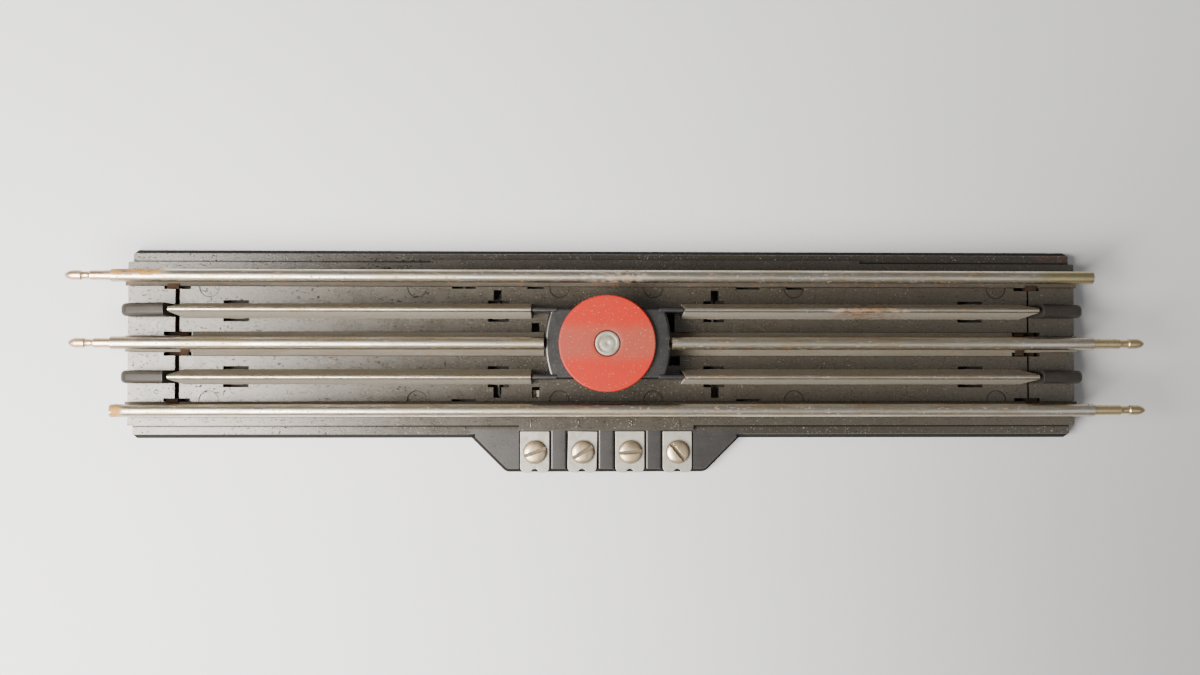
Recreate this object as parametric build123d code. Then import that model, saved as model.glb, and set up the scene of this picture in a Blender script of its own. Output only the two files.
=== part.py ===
"""Three-rail remote-control track section with a lifting magnet and four screw terminals.

Millimetres. Origin: centre of the base's underside. +X along the rails, +Y away from the
terminals, +Z up. Every sub-part is written to parts/NODE.step.
"""
from build123d import *
import math
import os

# ---------------------------------------------------------------- driving dimensions
RAIL_LENGTH = 254.0          # outer rails, end to end
RAIL_SPACING = 34.6          # centre to centre of the two outer rails
RAIL_TOP = 17.5              # running surface above the table
HEAD_DIAMETER = 3.3          # rolled head of the running rails
WEB_THICKNESS = 1.1          # doubled sheet
FOOT_THICKNESS = 0.5
OUTER_FOOT_WIDTH = 4.0
CENTRE_FOOT_WIDTH = 6.4
CENTRE_FOOT_END_WIDTH = 4.3  # foot trimmed where it passes the end blocks
FOOT_TRIM_GAP = 0.3          # between the wide foot and the slot of the clip

RAIL_OVERHANG = 0.95         # rail past each end of the base
LOWER_MARGIN = 7.82          # outer rail centre to the lower step's edge, at the table
UPPER_MARGIN = 4.3           # outer rail centre to the deck's edge
SIDE_SLOPE = 1.17            # how far the lower side walls lean out
LOWER_TOP = 3.8              # top of the lower step
DECK_TOP = 5.4
BAND_STEP = 0.8              # the deck's far edge stands out along the band
BAND_X = (-46.8, 67.9)
WALL = 1.6                   # moulding wall
CORNER_RADIUS = 1.0
STEP_SHORT = 0.9             # the lower step stops short of the deck's ends
RAIL_SEAT = 4.2              # floor of the rail channels
SEAT_THICKNESS = 1.2         # plastic left under the channels
CHANNEL_CLEARANCE = 0.12     # between a rail foot and its channel
END_BLOCK_LENGTH = 12.3      # from the base's end to the cross slot

COVER_THICKNESS = 1.1
COVER_CLEARANCE = 0.3
COVER_SCREW_R = 1.1
COVER_HEAD_R = 2.1
COVER_SCREW_LENGTH = 4.2
COVER_SCREW_POINT = 0.6
COVER_SLOT_WIDTH = 0.6
COVER_SLOT_DEPTH = 0.35
BOSS_R = 3.0
BOSS_INNER_X = 55.0
BOSS_FROM_BLOCK = 8.75       # outer bosses, back from the end block
BOSS_Y = 12.3

CONTROL_Y = 8.7              # centre line of the control rails
CONTROL_DROP = 0.6           # crest below the running surface
CONTROL_FOOT = 4.0
CONTROL_CREST = 0.62         # half width of the rounded crest
CONTROL_SHEET = 0.57
CONTROL_INNER_END = 19.9
CONTROL_END_GAP = 1.15       # between the crest's outer end and the end block
CONTROL_END_RAKE = 1.45      # lower edge cut back from the crest
CREST_HEIGHT = 0.7           # rounded part of the crest
CREST_THICKNESS = 0.5
CENTRE_RAIL_GAP = 0.2        # between the housing and each half of the centre rail

NOSE_WIDTH = 3.4
NOSE_DROP = 0.2              # rear of a nose below the control rails
NOSE_RISE = 4.2              # from the front of a nose to its rear
NOSE_FRONT_RADIUS = 3.0
NOSE_SIDE_RADIUS = 1.25
ARM_THICKNESS = 1.3
ARM_DROP = 0.9               # arms below the control rails
ARM_GAP = 0.35               # between an arm and the end of its control rail
ARM_RADIUS = 0.45

PIN_R = 1.27                 # pins, and the sockets that they slide into
PIN_NECK_R = 1.05            # groove for the crimp, outside the rail
PIN_CRIMP_R = 1.05           # the rail is crimped onto this part of the pin
PIN_CRIMP_DEPTH = 12.0
PIN_HEAD_LENGTH = 2.3
PIN_NECK_LENGTH = 2.3
PIN_TIP_LENGTH = 1.9
PIN_TIP_R = 0.35
PIN_CHAMFER = 0.25
SOCKET_DEPTH = 15.0
TUBE_BORE_R = 1.0            # bore of the head between its ends
PIN_REACH = {"far_left": 11.8, "centre_left": 10.8, "centre_right": 13.5, "near_right": 13.6}

MAGNET_X = -0.2              # the magnet stands slightly left of the middle
HOUSING_HALF_LENGTH = 16.4
HOUSING_CORNER_X = 14.7
HOUSING_CLEARANCE = 0.3      # round the bobbin's flanges
HOUSING_DROP = 1.9           # below the running surface
HOUSING_WALL = 1.5
HOUSING_RADIUS = 0.8
CAP_RADIUS = 12.55
CAP_DROP = 0.3
CAP_THICKNESS = 1.1
CAP_EDGE = 0.4
CAP_SEAT_R = 7.0
CORE_R = 3.175
CORE_PROUD = 0.25
CORE_CLEARANCE = 0.1
CORE_CHAMFER = 0.15
CORE_RING_R = (1.9, 2.3)
CORE_RING_DEPTH = 0.2
CORE_DIMPLE_R = 0.7
BOBBIN_WALL = 0.85
BOBBIN_MARGIN = 3.375        # flanges past the tube
BOBBIN_FLANGE = 0.8
BOBBIN_CLEARANCE = 0.1
WINDING_MARGIN = 0.4         # winding short of the flanges' rims
YOKE_THICKNESS = 0.8
YOKE_CLEARANCE = 0.05
YOKE_HALF_LENGTH = 11.0
YOKE_HALF_WIDTH = 6.8
YOKE_LEG_WIDTH = 9.0
YOKE_LEG_TOP = 12.5

TERMINAL_PITCH = 12.7
TERMINAL_COUNT = 4
TERMINAL_OUT = 3.68          # terminal screws, out from the lower step's edge
BLOCK_DEPTH = 9.13           # terminal block, out from the lower step's edge
BLOCK_EDGE_MARGIN = 7.75     # past the outer terminals, at the block's edge
BLOCK_FLARE = 9.2            # how much wider each end of the block is at its root
BLOCK_CORNER = 2.5
PLATE_WIDTH = 7.8
PLATE_LENGTH = 11.0
PLATE_THICKNESS = 0.8
PLATE_CORNER = 1.0
PLATE_NOTCH_R = 1.0
PLATE_SIDE_GAP = 0.3
PLATE_TURN = {2: -1.2}       # degrees; this plate sits askew in its pocket
LABEL_MARGIN = 4.15          # number strip past the outer terminals
LABEL_STEP = 1.4             # number strip out from the deck's edge
SCREW_R = 1.5875             # number 5 screw, 40 threads to the inch
SCREW_END = 0.5
SCREW_POINT = 0.3
SCREW_HEAD_R = 3.1
SCREW_RIM = 0.6
SCREW_HEAD_HEIGHT = 1.6
SCREW_SHOULDER = 0.72        # share of the head's radius where the crown flattens
SCREW_SHOULDER_RISE = 0.62
SCREW_SLOT_WIDTH = 0.85
SCREW_SLOT_DEPTH = 0.85
SCREW_SLOT_TURN = {1: 20.0, 2: 32.0, 3: 5.0, 4: -50.0}
HOLE_CLEARANCE = 0.17
THREAD_CLEARANCE = 0.03
STRIP_THICKNESS = 0.8
STRIP_WIDTH = 6.0
STRIP_TAIL_WIDTH = 3.0
STRIP_CLEARANCE = 0.2
STRIP_OUT = 3.0              # strip past the screw, outwards
STRIP_NECK_IN = 7.8          # start of the narrow tail, inwards from the screw
STRIP_TAIL_LENGTH = 5.9
STRIP_LUG = 0.8
LUG_TOP_GAP = 0.1
TEST_LUG_X = (0.5, 1.2)      # lug of strip 1 that stands in a hole of the deck
TEST_LUG_IN = (1.0, 2.8)     # inwards from the tail's end
TEST_HOLE_X = (-0.75, 1.35)
TEST_HOLE_IN = (0.8, 3.7)
TEST_LUG_DROP = 0.7          # below the deck

TAB_BOTTOM = 1.3             # lower end of every rail tab
TAB_THICKNESS = 0.5
OUTER_TAB_X = (36.0, 39.7)
CENTRE_TAB_INNER = (22.0, 25.0)
CENTRE_TAB_FROM_BLOCK = (15.75, 12.75)
CONTROL_TAB_INNER = (27.0, 30.4)
CONTROL_TAB_FROM_BLOCK = (17.85, 14.45)
SLOT_END_GAP = 0.9           # slot past each end of a control tab
OUTER_SLOT_END_GAP = 1.35
OUTER_SLOT_HALF = 0.65
CONTROL_SLOT_OUT = 0.8
TAB_CLEARANCE = 0.13
CENTRE_SLOT_CLEARANCE = 0.2
CROSS_SLOT = {-1: 1.2, 1: 0.5}
CROSS_SLOT_GAP = 0.1
LEG_SLOT_X = (27.9, 30.0)
LEG_SLOT_Y = (10.7, 14.3)
EAR_SLOT_FROM_BLOCK = (4.05, -2.95)
EAR_SLOT_WIDTH = 0.9
TIE_FROM_BLOCK = (0.85, -2.25)
CLIP_FROM_BLOCK = (3.55, 1.35)
TIE_THICKNESS = 0.7
TIE_EAR_INSET = 0.85
TIE_HOOK = 1.3
CLIP_EAR_INSET = 0.75
CLIP_HOOK_Y = 1.1
EAR_DROP = 0.25              # ears below the deck
HOOK_THICKNESS = 0.4
SPARE_SLOTS = ((-21.1, -16.7), (48.1, 52.7))
WINDOWS = ((-19.9, -17.8, 2.8, 5.6), (15.2, 18.2, 3.3, 8.0), (15.8, 19.6, -5.7, -3.3))
MARK_X = (12.5, 50.15)       # ejector pin marks, either side of the middle
MARK_FROM_BLOCK = 8.95
MARK_Y = 15.0
MARK_R = 2.6
MARK_DEPTH = 0.15

WIRE_R = 0.42
WIRE_LOW = 1.55              # height of the lower layer of wires
WIRE_HIGH = 2.5              # height of the upper layer
COIL_LEAD_Z = 5.4
COIL_LEAD = (4.9, 7.1)       # where the coil's leads turn up, from the magnet's axis

# ---------------------------------------------------------------- worked-out sizes
OUTER_Y = RAIL_SPACING / 2
HEAD_Z = RAIL_TOP - HEAD_DIAMETER / 2
HALF_LENGTH = RAIL_LENGTH / 2 - RAIL_OVERHANG
LOWER_HALF = OUTER_Y + LOWER_MARGIN
UPPER_HALF = OUTER_Y + UPPER_MARGIN
OUTER_EDGE_Y = OUTER_Y - OUTER_FOOT_WIDTH / 2
CAVITY_TOP = RAIL_SEAT - SEAT_THICKNESS
COVER_TOP = COVER_THICKNESS
BLOCK_END = HALF_LENGTH - END_BLOCK_LENGTH
CAVITY_HALF = HALF_LENGTH - WALL
LOWER_CAVITY_HALF = LOWER_HALF - SIDE_SLOPE - WALL
UPPER_CAVITY_HALF = UPPER_HALF - WALL
BOSS_X = (BOSS_INNER_X, BLOCK_END - BOSS_FROM_BLOCK)
EAR_TOP = DECK_TOP - EAR_DROP

CONTROL_TOP = RAIL_TOP - CONTROL_DROP
CONTROL_OUTER_END = BLOCK_END - CONTROL_END_GAP
ARM_TOP = CONTROL_TOP - ARM_DROP
NOSE_REAR_TOP = CONTROL_TOP - NOSE_DROP
NOSE_FRONT_TOP = NOSE_REAR_TOP - NOSE_RISE
HOUSING_TOP = RAIL_TOP - HOUSING_DROP
POCKET_TOP = HOUSING_TOP - HOUSING_WALL
CAP_TOP = RAIL_TOP - CAP_DROP
CAP_BOTTOM = CAP_TOP - CAP_THICKNESS
YOKE_BOTTOM = COVER_TOP + YOKE_CLEARANCE
YOKE_TOP = YOKE_BOTTOM + YOKE_THICKNESS
BOBBIN_TUBE_R = CORE_R + CORE_CLEARANCE + BOBBIN_WALL
BOBBIN_FLANGE_R = BOBBIN_TUBE_R + BOBBIN_MARGIN
HOUSING_HALF_WIDTH = BOBBIN_FLANGE_R + HOUSING_CLEARANCE + HOUSING_WALL
CENTRE_INNER_END = HOUSING_HALF_LENGTH + CENTRE_RAIL_GAP
BOBBIN_TOP = POCKET_TOP - BOBBIN_CLEARANCE
WINDING_R = BOBBIN_FLANGE_R - WINDING_MARGIN

TERMINAL_Y = -(LOWER_HALF + TERMINAL_OUT)
TERMINAL_X = [(n - (TERMINAL_COUNT - 1) / 2) * TERMINAL_PITCH for n in range(TERMINAL_COUNT)]
BLOCK_EDGE_Y = -(LOWER_HALF + BLOCK_DEPTH)
BLOCK_EDGE_HALF = TERMINAL_X[-1] + BLOCK_EDGE_MARGIN
BLOCK_ROOT_HALF = BLOCK_EDGE_HALF + BLOCK_FLARE
PLATE_INNER_Y = BLOCK_EDGE_Y + PLATE_LENGTH
PLATE_FLOOR = LOWER_TOP - PLATE_THICKNESS
LABEL_HALF = TERMINAL_X[-1] + LABEL_MARGIN
LABEL_EDGE_Y = -(UPPER_HALF + LABEL_STEP)
STRIP_TOP = COVER_TOP + STRIP_THICKNESS
STRIP_NECK_Y = TERMINAL_Y + STRIP_NECK_IN
STRIP_INNER_Y = STRIP_NECK_Y + STRIP_TAIL_LENGTH

CENTRE_TAB_X = (CENTRE_TAB_INNER, tuple(BLOCK_END - back for back in CENTRE_TAB_FROM_BLOCK))
CONTROL_TAB_X = (CONTROL_TAB_INNER, tuple(BLOCK_END - back for back in CONTROL_TAB_FROM_BLOCK))
EAR_SLOT_X = tuple(BLOCK_END - back for back in EAR_SLOT_FROM_BLOCK)
TIE_X = tuple(BLOCK_END - back for back in TIE_FROM_BLOCK)
CLIP_X = tuple(BLOCK_END - back for back in CLIP_FROM_BLOCK)
SIDES = {"far": 1, "near": -1}
ENDS = {"left": -1, "right": 1}


def span(x0, x1, y0, y1, z0, z1):
    """A box between two corners, given in any order."""
    middle = Pos((x0 + x1) / 2, (y0 + y1) / 2, (z0 + z1) / 2)
    return middle * Box(abs(x1 - x0), abs(y1 - y0), abs(z1 - z0))


def post(x, y, z0, z1, radius):
    """An upright cylinder."""
    return Pos(x, y, (z0 + z1) / 2) * Cylinder(radius, z1 - z0)


def rod(x0, x1, y, z, radius):
    """A cylinder along X."""
    turn = Rotation(0, 90, 0)
    return Pos((x0 + x1) / 2, y, z) * turn * Cylinder(radius, abs(x1 - x0))


def mirrored(ranges, end):
    """A low and a high value, on the left or on the right."""
    return sorted(end * value for value in ranges)


# ---------------------------------------------------------------- moulded base
def lower_step():
    """The wide lower step, with leaning sides and rounded corners."""
    bottom = LOWER_HALF
    top = bottom - SIDE_SLOPE
    outline = Polyline((-bottom, 0), (bottom, 0), (top, LOWER_TOP), (-top, LOWER_TOP), close=True)
    half = HALF_LENGTH - STEP_SHORT
    body = extrude(Plane.YZ * make_face(outline), half, both=True)
    corners = [
        edge for edge in body.edges()
        if abs(edge.center().X) > half - 0.01
        and abs(edge.center().Y) > top - 0.01
        and 0.01 < edge.center().Z < LOWER_TOP - 0.01
    ]
    return fillet(corners, CORNER_RADIUS)


def terminal_block():
    """The trapezoid shelf that carries the terminals."""
    root = -LOWER_HALF
    inner = -UPPER_HALF
    outline = Polyline(
        (-BLOCK_ROOT_HALF, inner), (-BLOCK_ROOT_HALF, root), (-BLOCK_EDGE_HALF, BLOCK_EDGE_Y),
        (BLOCK_EDGE_HALF, BLOCK_EDGE_Y), (BLOCK_ROOT_HALF, root), (BLOCK_ROOT_HALF, inner), close=True,
    )
    face = make_face(outline)
    corners = [v for v in face.vertices() if v.Y < BLOCK_EDGE_Y + 0.01]
    face = fillet(corners, BLOCK_CORNER)
    return extrude(face, LOWER_TOP, taper=math.degrees(math.atan2(SIDE_SLOPE, LOWER_TOP)))


def deck():
    """The raised deck, its number strip and the wider band on the far side."""
    low = LOWER_TOP - WALL / 2
    body = span(-HALF_LENGTH, HALF_LENGTH, -UPPER_HALF, UPPER_HALF, 0, DECK_TOP)
    body += span(-LABEL_HALF, LABEL_HALF, LABEL_EDGE_Y, 0, low, DECK_TOP)
    body += span(*BAND_X, 0, UPPER_HALF + BAND_STEP, low, DECK_TOP)
    return body


def channels():
    """Material taken out of the deck for the feet of the running rails."""
    outer = OUTER_FOOT_WIDTH / 2 + CHANNEL_CLEARANCE
    middle = CENTRE_FOOT_WIDTH / 2 + CHANNEL_CLEARANCE / 2
    end = CENTRE_FOOT_END_WIDTH / 2 + CHANNEL_CLEARANCE
    long = HALF_LENGTH + 1
    cut = span(-BLOCK_END, BLOCK_END, -middle, middle, RAIL_SEAT, DECK_TOP + 1)
    cut += span(-long, long, -end, end, RAIL_SEAT, DECK_TOP + 1)
    for side in SIDES.values():
        y = side * OUTER_Y
        cut += span(-long, long, y - outer, y + outer, RAIL_SEAT, DECK_TOP + 1)
    return cut


def housing_outline(inset):
    """Plan of the magnet housing: straight long sides and bulging ends."""
    x = HOUSING_CORNER_X - inset
    bulge = HOUSING_HALF_LENGTH - inset
    y = HOUSING_HALF_WIDTH - inset
    right = ThreePointArc((x, -y), (bulge, 0), (x, y))
    left = ThreePointArc((-x, y), (-bulge, 0), (-x, -y))
    top = Line((x, y), (-x, y))
    bottom = Line((-x, -y), (x, -y))
    return make_face([right, top, left, bottom])


def housing():
    """The tower that holds the coil, with a low ring that carries the cap."""
    body = Pos(0, 0, RAIL_SEAT - 0.5) * extrude(housing_outline(0), HOUSING_TOP - RAIL_SEAT + 0.5)
    rim = [edge for edge in body.edges() if edge.center().Z > HOUSING_TOP - 0.01]
    body = fillet(rim, HOUSING_RADIUS)
    return body + post(MAGNET_X, 0, HOUSING_TOP - 0.5, CAP_BOTTOM, CAP_SEAT_R)


def arm(end, side):
    """A thin wall that carries the line of a control rail up to the housing."""
    outer = CONTROL_INNER_END - ARM_GAP
    x0, x1 = mirrored((HOUSING_CORNER_X - 1, outer), end)
    half = ARM_THICKNESS / 2
    y = side * CONTROL_Y
    body = span(x0, x1, y - half, y + half, RAIL_SEAT - 0.5, ARM_TOP)
    ridge = [edge for edge in body.edges() if edge.center().Z > ARM_TOP - 0.01
             and abs(edge.center().X) < outer - 0.01]
    return fillet([e for e in ridge if abs(e.center().Y - y) > half - 0.01], ARM_RADIUS)


def nose(end, side):
    """The ramp that leads a pick-up shoe onto a control rail."""
    tip = HALF_LENGTH
    points = [(tip, RAIL_SEAT - 0.5), (tip, NOSE_FRONT_TOP), (BLOCK_END, NOSE_REAR_TOP),
              (BLOCK_END, RAIL_SEAT - 0.5)]
    profile = make_face(Polyline(*points, close=True))
    front = [v for v in profile.vertices() if v.Y > NOSE_FRONT_TOP - 0.01 and v.X > tip - 0.01]
    profile = fillet(front, NOSE_FRONT_RADIUS)
    body = extrude(Plane.XZ * profile, NOSE_WIDTH / 2, both=True)
    edges = [
        edge for edge in body.edges()
        if abs(abs(edge.center().Y) - NOSE_WIDTH / 2) < 0.01
        and edge.center().Z > RAIL_SEAT and edge.center().X > BLOCK_END + 0.01
    ]
    body = fillet(edges, NOSE_SIDE_RADIUS)
    if end < 0:
        body = mirror(body, Plane.YZ)
    return Pos(0, side * CONTROL_Y, 0) * body


def rail_slots(end, side):
    """Slots for the feet, tabs and ears of one side, at one end."""
    low, high = TAB_BOTTOM, DECK_TOP + 1
    foot_y, edge_y, control_y = (side * y for y in (CENTRE_FOOT_END_WIDTH / 2, OUTER_EDGE_Y, CONTROL_Y))
    cross = mirrored((BLOCK_END - CROSS_SLOT[end], BLOCK_END), end)
    ear = mirrored(EAR_SLOT_X, end)
    tab = mirrored((OUTER_TAB_X[0] - OUTER_SLOT_END_GAP, OUTER_TAB_X[1] + OUTER_SLOT_END_GAP), end)
    half = OUTER_SLOT_HALF
    slots = [
        span(*cross, foot_y, edge_y - side * CROSS_SLOT_GAP, low, high),
        span(*ear, edge_y - side * EAR_SLOT_WIDTH, edge_y + side * CROSS_SLOT_GAP, low, high),
        span(*ear, foot_y, side * CENTRE_FOOT_WIDTH / 2, low, high),
        span(*tab, edge_y - half, edge_y + half, low, high),
        span(*mirrored(LEG_SLOT_X, end), side * LEG_SLOT_Y[0], side * LEG_SLOT_Y[1], low, high),
    ]
    inner = CONTROL_FOOT / 2 - CONTROL_SHEET - TAB_CLEARANCE
    outer = CONTROL_FOOT / 2 + CONTROL_SLOT_OUT
    for first, last in CONTROL_TAB_X:
        x0, x1 = mirrored((first - SLOT_END_GAP, last + SLOT_END_GAP), end)
        for way in (-1, 1):
            slots.append(span(x0, x1, control_y + way * inner, control_y + way * outer, low, high))
    return slots


def deck_cuts():
    """Slots and windows that go through the deck."""
    low, high = TAB_BOTTOM, DECK_TOP + 1
    cuts = []
    for end in ENDS.values():
        for side in SIDES.values():
            cuts += rail_slots(end, side)
        half = WEB_THICKNESS / 2 + CENTRE_SLOT_CLEARANCE
        for first, last in CENTRE_TAB_X:
            x0, x1 = mirrored((first - CENTRE_SLOT_CLEARANCE, last + CENTRE_SLOT_CLEARANCE), end)
            cuts.append(span(x0, x1, -half, half, low, high))
    for x0, x1 in SPARE_SLOTS:
        cuts.append(span(x0, x1, OUTER_EDGE_Y - OUTER_SLOT_HALF, OUTER_EDGE_Y, low, high))
    test_x = [TERMINAL_X[0] + x for x in TEST_HOLE_X]
    test_y = [STRIP_INNER_Y + y for y in TEST_HOLE_IN]
    cuts.append(span(*test_x, *test_y, low, high))
    return cuts + [span(*window, low, high) for window in WINDOWS]


def ejector_marks():
    """Shallow round marks beside the outer rails."""
    places = [end * x for x in (*MARK_X, BLOCK_END - MARK_FROM_BLOCK) for end in ENDS.values()]
    return [post(x, side * MARK_Y, DECK_TOP - MARK_DEPTH, DECK_TOP + 1, MARK_R)
            for x in places for side in SIDES.values()]


def make_base():
    body = lower_step() + terminal_block() + deck()
    body -= channels()
    body -= span(-CAVITY_HALF, CAVITY_HALF, -LOWER_CAVITY_HALF, LOWER_CAVITY_HALF, -1, LOWER_TOP - WALL)
    body -= span(-CAVITY_HALF, CAVITY_HALF, -UPPER_CAVITY_HALF, UPPER_CAVITY_HALF, -1, CAVITY_TOP)
    for cut in deck_cuts() + ejector_marks():
        body -= cut
    for end in ENDS.values():
        for side in SIDES.values():
            body += nose(end, side)
            body += arm(end, side)
            for x in BOSS_X:
                body += post(end * x, side * BOSS_Y, COVER_TOP, CAVITY_TOP + 0.5, BOSS_R)
                body -= post(end * x, side * BOSS_Y, 0, COVER_SCREW_LENGTH, COVER_SCREW_R)
    body += housing()
    body -= Pos(0, 0, -1) * extrude(housing_outline(HOUSING_WALL), POCKET_TOP + 1)
    body -= post(MAGNET_X, 0, 0, DECK_TOP + 20, CORE_R + CORE_CLEARANCE)
    pocket_half = PLATE_WIDTH / 2 + PLATE_SIDE_GAP
    recess_half = STRIP_WIDTH / 2 + STRIP_CLEARANCE
    recess_y = TERMINAL_Y - STRIP_OUT - STRIP_CLEARANCE
    for x in TERMINAL_X:
        body -= span(x - pocket_half, x + pocket_half, BLOCK_EDGE_Y - 1, LABEL_EDGE_Y, PLATE_FLOOR,
                     DECK_TOP + 1)
        body -= span(x - recess_half, x + recess_half, recess_y, -LOWER_CAVITY_HALF + 1, -1, STRIP_TOP)
        body -= post(x, TERMINAL_Y, 0, DECK_TOP, SCREW_R + HOLE_CLEARANCE)
    return body


# ---------------------------------------------------------------- cover
def make_bottom_cover():
    x = CAVITY_HALF - COVER_CLEARANCE
    y = LOWER_CAVITY_HALF - COVER_CLEARANCE
    body = span(-x, x, -y, y, 0, COVER_TOP)
    for screw in cover_screw_places():
        body -= screw * countersink(0.02)
    return body


def countersink(clearance):
    """The head cone of a cover screw, or the seat that it needs."""
    shank = COVER_SCREW_R + clearance
    cone = Cone(COVER_HEAD_R + clearance, shank, COVER_THICKNESS)
    return Pos(0, 0, COVER_THICKNESS / 2) * cone


def cover_screw_places():
    return [Pos(end * x, side * BOSS_Y, 0)
            for x in BOSS_X for end in ENDS.values() for side in SIDES.values()]


def make_cover_screws():
    point = COVER_SCREW_LENGTH - COVER_SCREW_POINT
    screw = countersink(0) + post(0, 0, COVER_TOP, point, COVER_SCREW_R)
    tip = Cone(COVER_SCREW_R, COVER_SCREW_R - COVER_SCREW_POINT, COVER_SCREW_POINT)
    screw += Pos(0, 0, point + COVER_SCREW_POINT / 2) * tip
    half = COVER_SLOT_WIDTH / 2
    screw -= span(-COVER_HEAD_R, COVER_HEAD_R, -half, half, 0, COVER_SLOT_DEPTH)
    return [place * screw for place in cover_screw_places()]


# ---------------------------------------------------------------- running rails
def head_bore(x0, x1, y, ends):
    """The bore of a rolled head; ends says what each end holds: a pin, a socket or nothing."""
    bore = rod(x0 - 1, x1 + 1, y, HEAD_Z, TUBE_BORE_R)
    for x, inward, holds in ((x0, 1, ends[0]), (x1, -1, ends[1])):
        if holds == "socket":
            bore += rod(x - inward, x + inward * SOCKET_DEPTH, y, HEAD_Z, PIN_R)
        if holds == "pin":
            bore += rod(x - inward, x + inward * PIN_CRIMP_DEPTH, y, HEAD_Z, PIN_CRIMP_R)
    return bore


def running_rail(x0, x1, y, ends):
    """Rolled head, doubled web and foot; the foot is added by the caller."""
    half = WEB_THICKNESS / 2
    body = rod(x0, x1, y, HEAD_Z, HEAD_DIAMETER / 2)
    body += span(x0, x1, y - half, y + half, RAIL_SEAT + FOOT_THICKNESS / 2, HEAD_Z)
    return body - head_bore(x0, x1, y, ends)


def foot(x0, x1, y, width):
    return span(x0, x1, y - width / 2, y + width / 2, RAIL_SEAT, RAIL_SEAT + FOOT_THICKNESS)


def make_outer_rail(side, ends):
    x = RAIL_LENGTH / 2
    y = side * OUTER_Y
    body = running_rail(-x, x, y, ends) + foot(-x, x, y, OUTER_FOOT_WIDTH)
    edge = side * OUTER_EDGE_Y
    for end in ENDS.values():
        t0, t1 = mirrored(OUTER_TAB_X, end)
        body += span(t0, t1, edge, edge + side * TAB_THICKNESS, TAB_BOTTOM, RAIL_SEAT + FOOT_THICKNESS)
    return body


def make_centre_rail(end):
    inner, outer = CENTRE_INNER_END, RAIL_LENGTH / 2
    x0, x1 = mirrored((inner, outer), end)
    ends = ("pin", "none") if end < 0 else ("none", "pin")
    body = running_rail(x0, x1, 0, ends)
    f0, f1 = mirrored((inner, EAR_SLOT_X[0] - FOOT_TRIM_GAP), end)
    body += foot(f0, f1, 0, CENTRE_FOOT_WIDTH) + foot(x0, x1, 0, CENTRE_FOOT_END_WIDTH)
    half = WEB_THICKNESS / 2
    for tab in CENTRE_TAB_X:
        t0, t1 = mirrored(tab, end)
        body += span(t0, t1, -half, half, TAB_BOTTOM, RAIL_SEAT + FOOT_THICKNESS)
    return body


# ---------------------------------------------------------------- control rails
def control_profile():
    """Cross-section of a folded control rail, about its centre line."""
    foot_half = CONTROL_FOOT / 2
    shoulder = CONTROL_TOP - CREST_HEIGHT
    outer = [Line((-foot_half, DECK_TOP), (-CONTROL_CREST, shoulder)),
             ThreePointArc((-CONTROL_CREST, shoulder), (0, CONTROL_TOP), (CONTROL_CREST, shoulder)),
             Line((CONTROL_CREST, shoulder), (foot_half, DECK_TOP)),
             Line((foot_half, DECK_TOP), (-foot_half, DECK_TOP))]
    inner_foot = foot_half - CONTROL_SHEET
    inner_crest = CONTROL_SHEET / 5
    ceiling = shoulder - CREST_THICKNESS
    inner = Polyline((-inner_foot, DECK_TOP - 1), (-inner_foot, DECK_TOP), (-inner_crest, ceiling),
                     (inner_crest, ceiling), (inner_foot, DECK_TOP), (inner_foot, DECK_TOP - 1), close=True)
    return make_face(outer) - make_face(inner)


def make_control_rail(end, side):
    long = extrude(Plane.YZ * control_profile(), BLOCK_END, both=True)
    rake = [(CONTROL_INNER_END, 0), (CONTROL_OUTER_END - CONTROL_END_RAKE, 0),
            (CONTROL_OUTER_END - CONTROL_END_RAKE, DECK_TOP), (CONTROL_OUTER_END, CONTROL_TOP),
            (CONTROL_OUTER_END, CONTROL_TOP + 1), (CONTROL_INNER_END, CONTROL_TOP + 1)]
    keep = extrude(Plane.XZ * make_face(Polyline(*rake, close=True)), CONTROL_FOOT, both=True)
    body = long & keep
    for tab in CONTROL_TAB_X:
        for way in (-1, 1):
            outer = way * CONTROL_FOOT / 2
            body += span(tab[0], tab[1], outer, outer - way * CONTROL_SHEET, TAB_BOTTOM, DECK_TOP)
    if end < 0:
        body = mirror(body, Plane.YZ)
    return Pos(0, side * CONTROL_Y, 0) * body


# ---------------------------------------------------------------- pins, ties and clips
def make_pin(end, y, reach):
    """A grooved, bullet-nosed track pin, turned about X."""
    head = reach - PIN_TIP_LENGTH
    neck = head - PIN_HEAD_LENGTH
    shank = neck - PIN_NECK_LENGTH
    depth = -PIN_CRIMP_DEPTH
    nose_middle = (head + 0.6 * PIN_TIP_LENGTH, PIN_R - 0.28 * PIN_R)
    run = [Polyline((depth, 0), (depth, PIN_CRIMP_R - PIN_CHAMFER), (depth + PIN_CHAMFER, PIN_CRIMP_R),
                    (0, PIN_CRIMP_R), (0, PIN_R), (shank, PIN_R), (shank + PIN_CHAMFER, PIN_NECK_R),
                    (neck - PIN_CHAMFER, PIN_NECK_R), (neck, PIN_R), (head, PIN_R)),
           ThreePointArc((head, PIN_R), nose_middle, (reach, PIN_TIP_R)),
           Polyline((reach, PIN_TIP_R), (reach, 0), (depth, 0))]
    body = revolve(make_face(run), Axis.X)
    if end < 0:
        body = mirror(body, Plane.YZ)
    return Pos(end * RAIL_LENGTH / 2, y, HEAD_Z) * body


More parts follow.
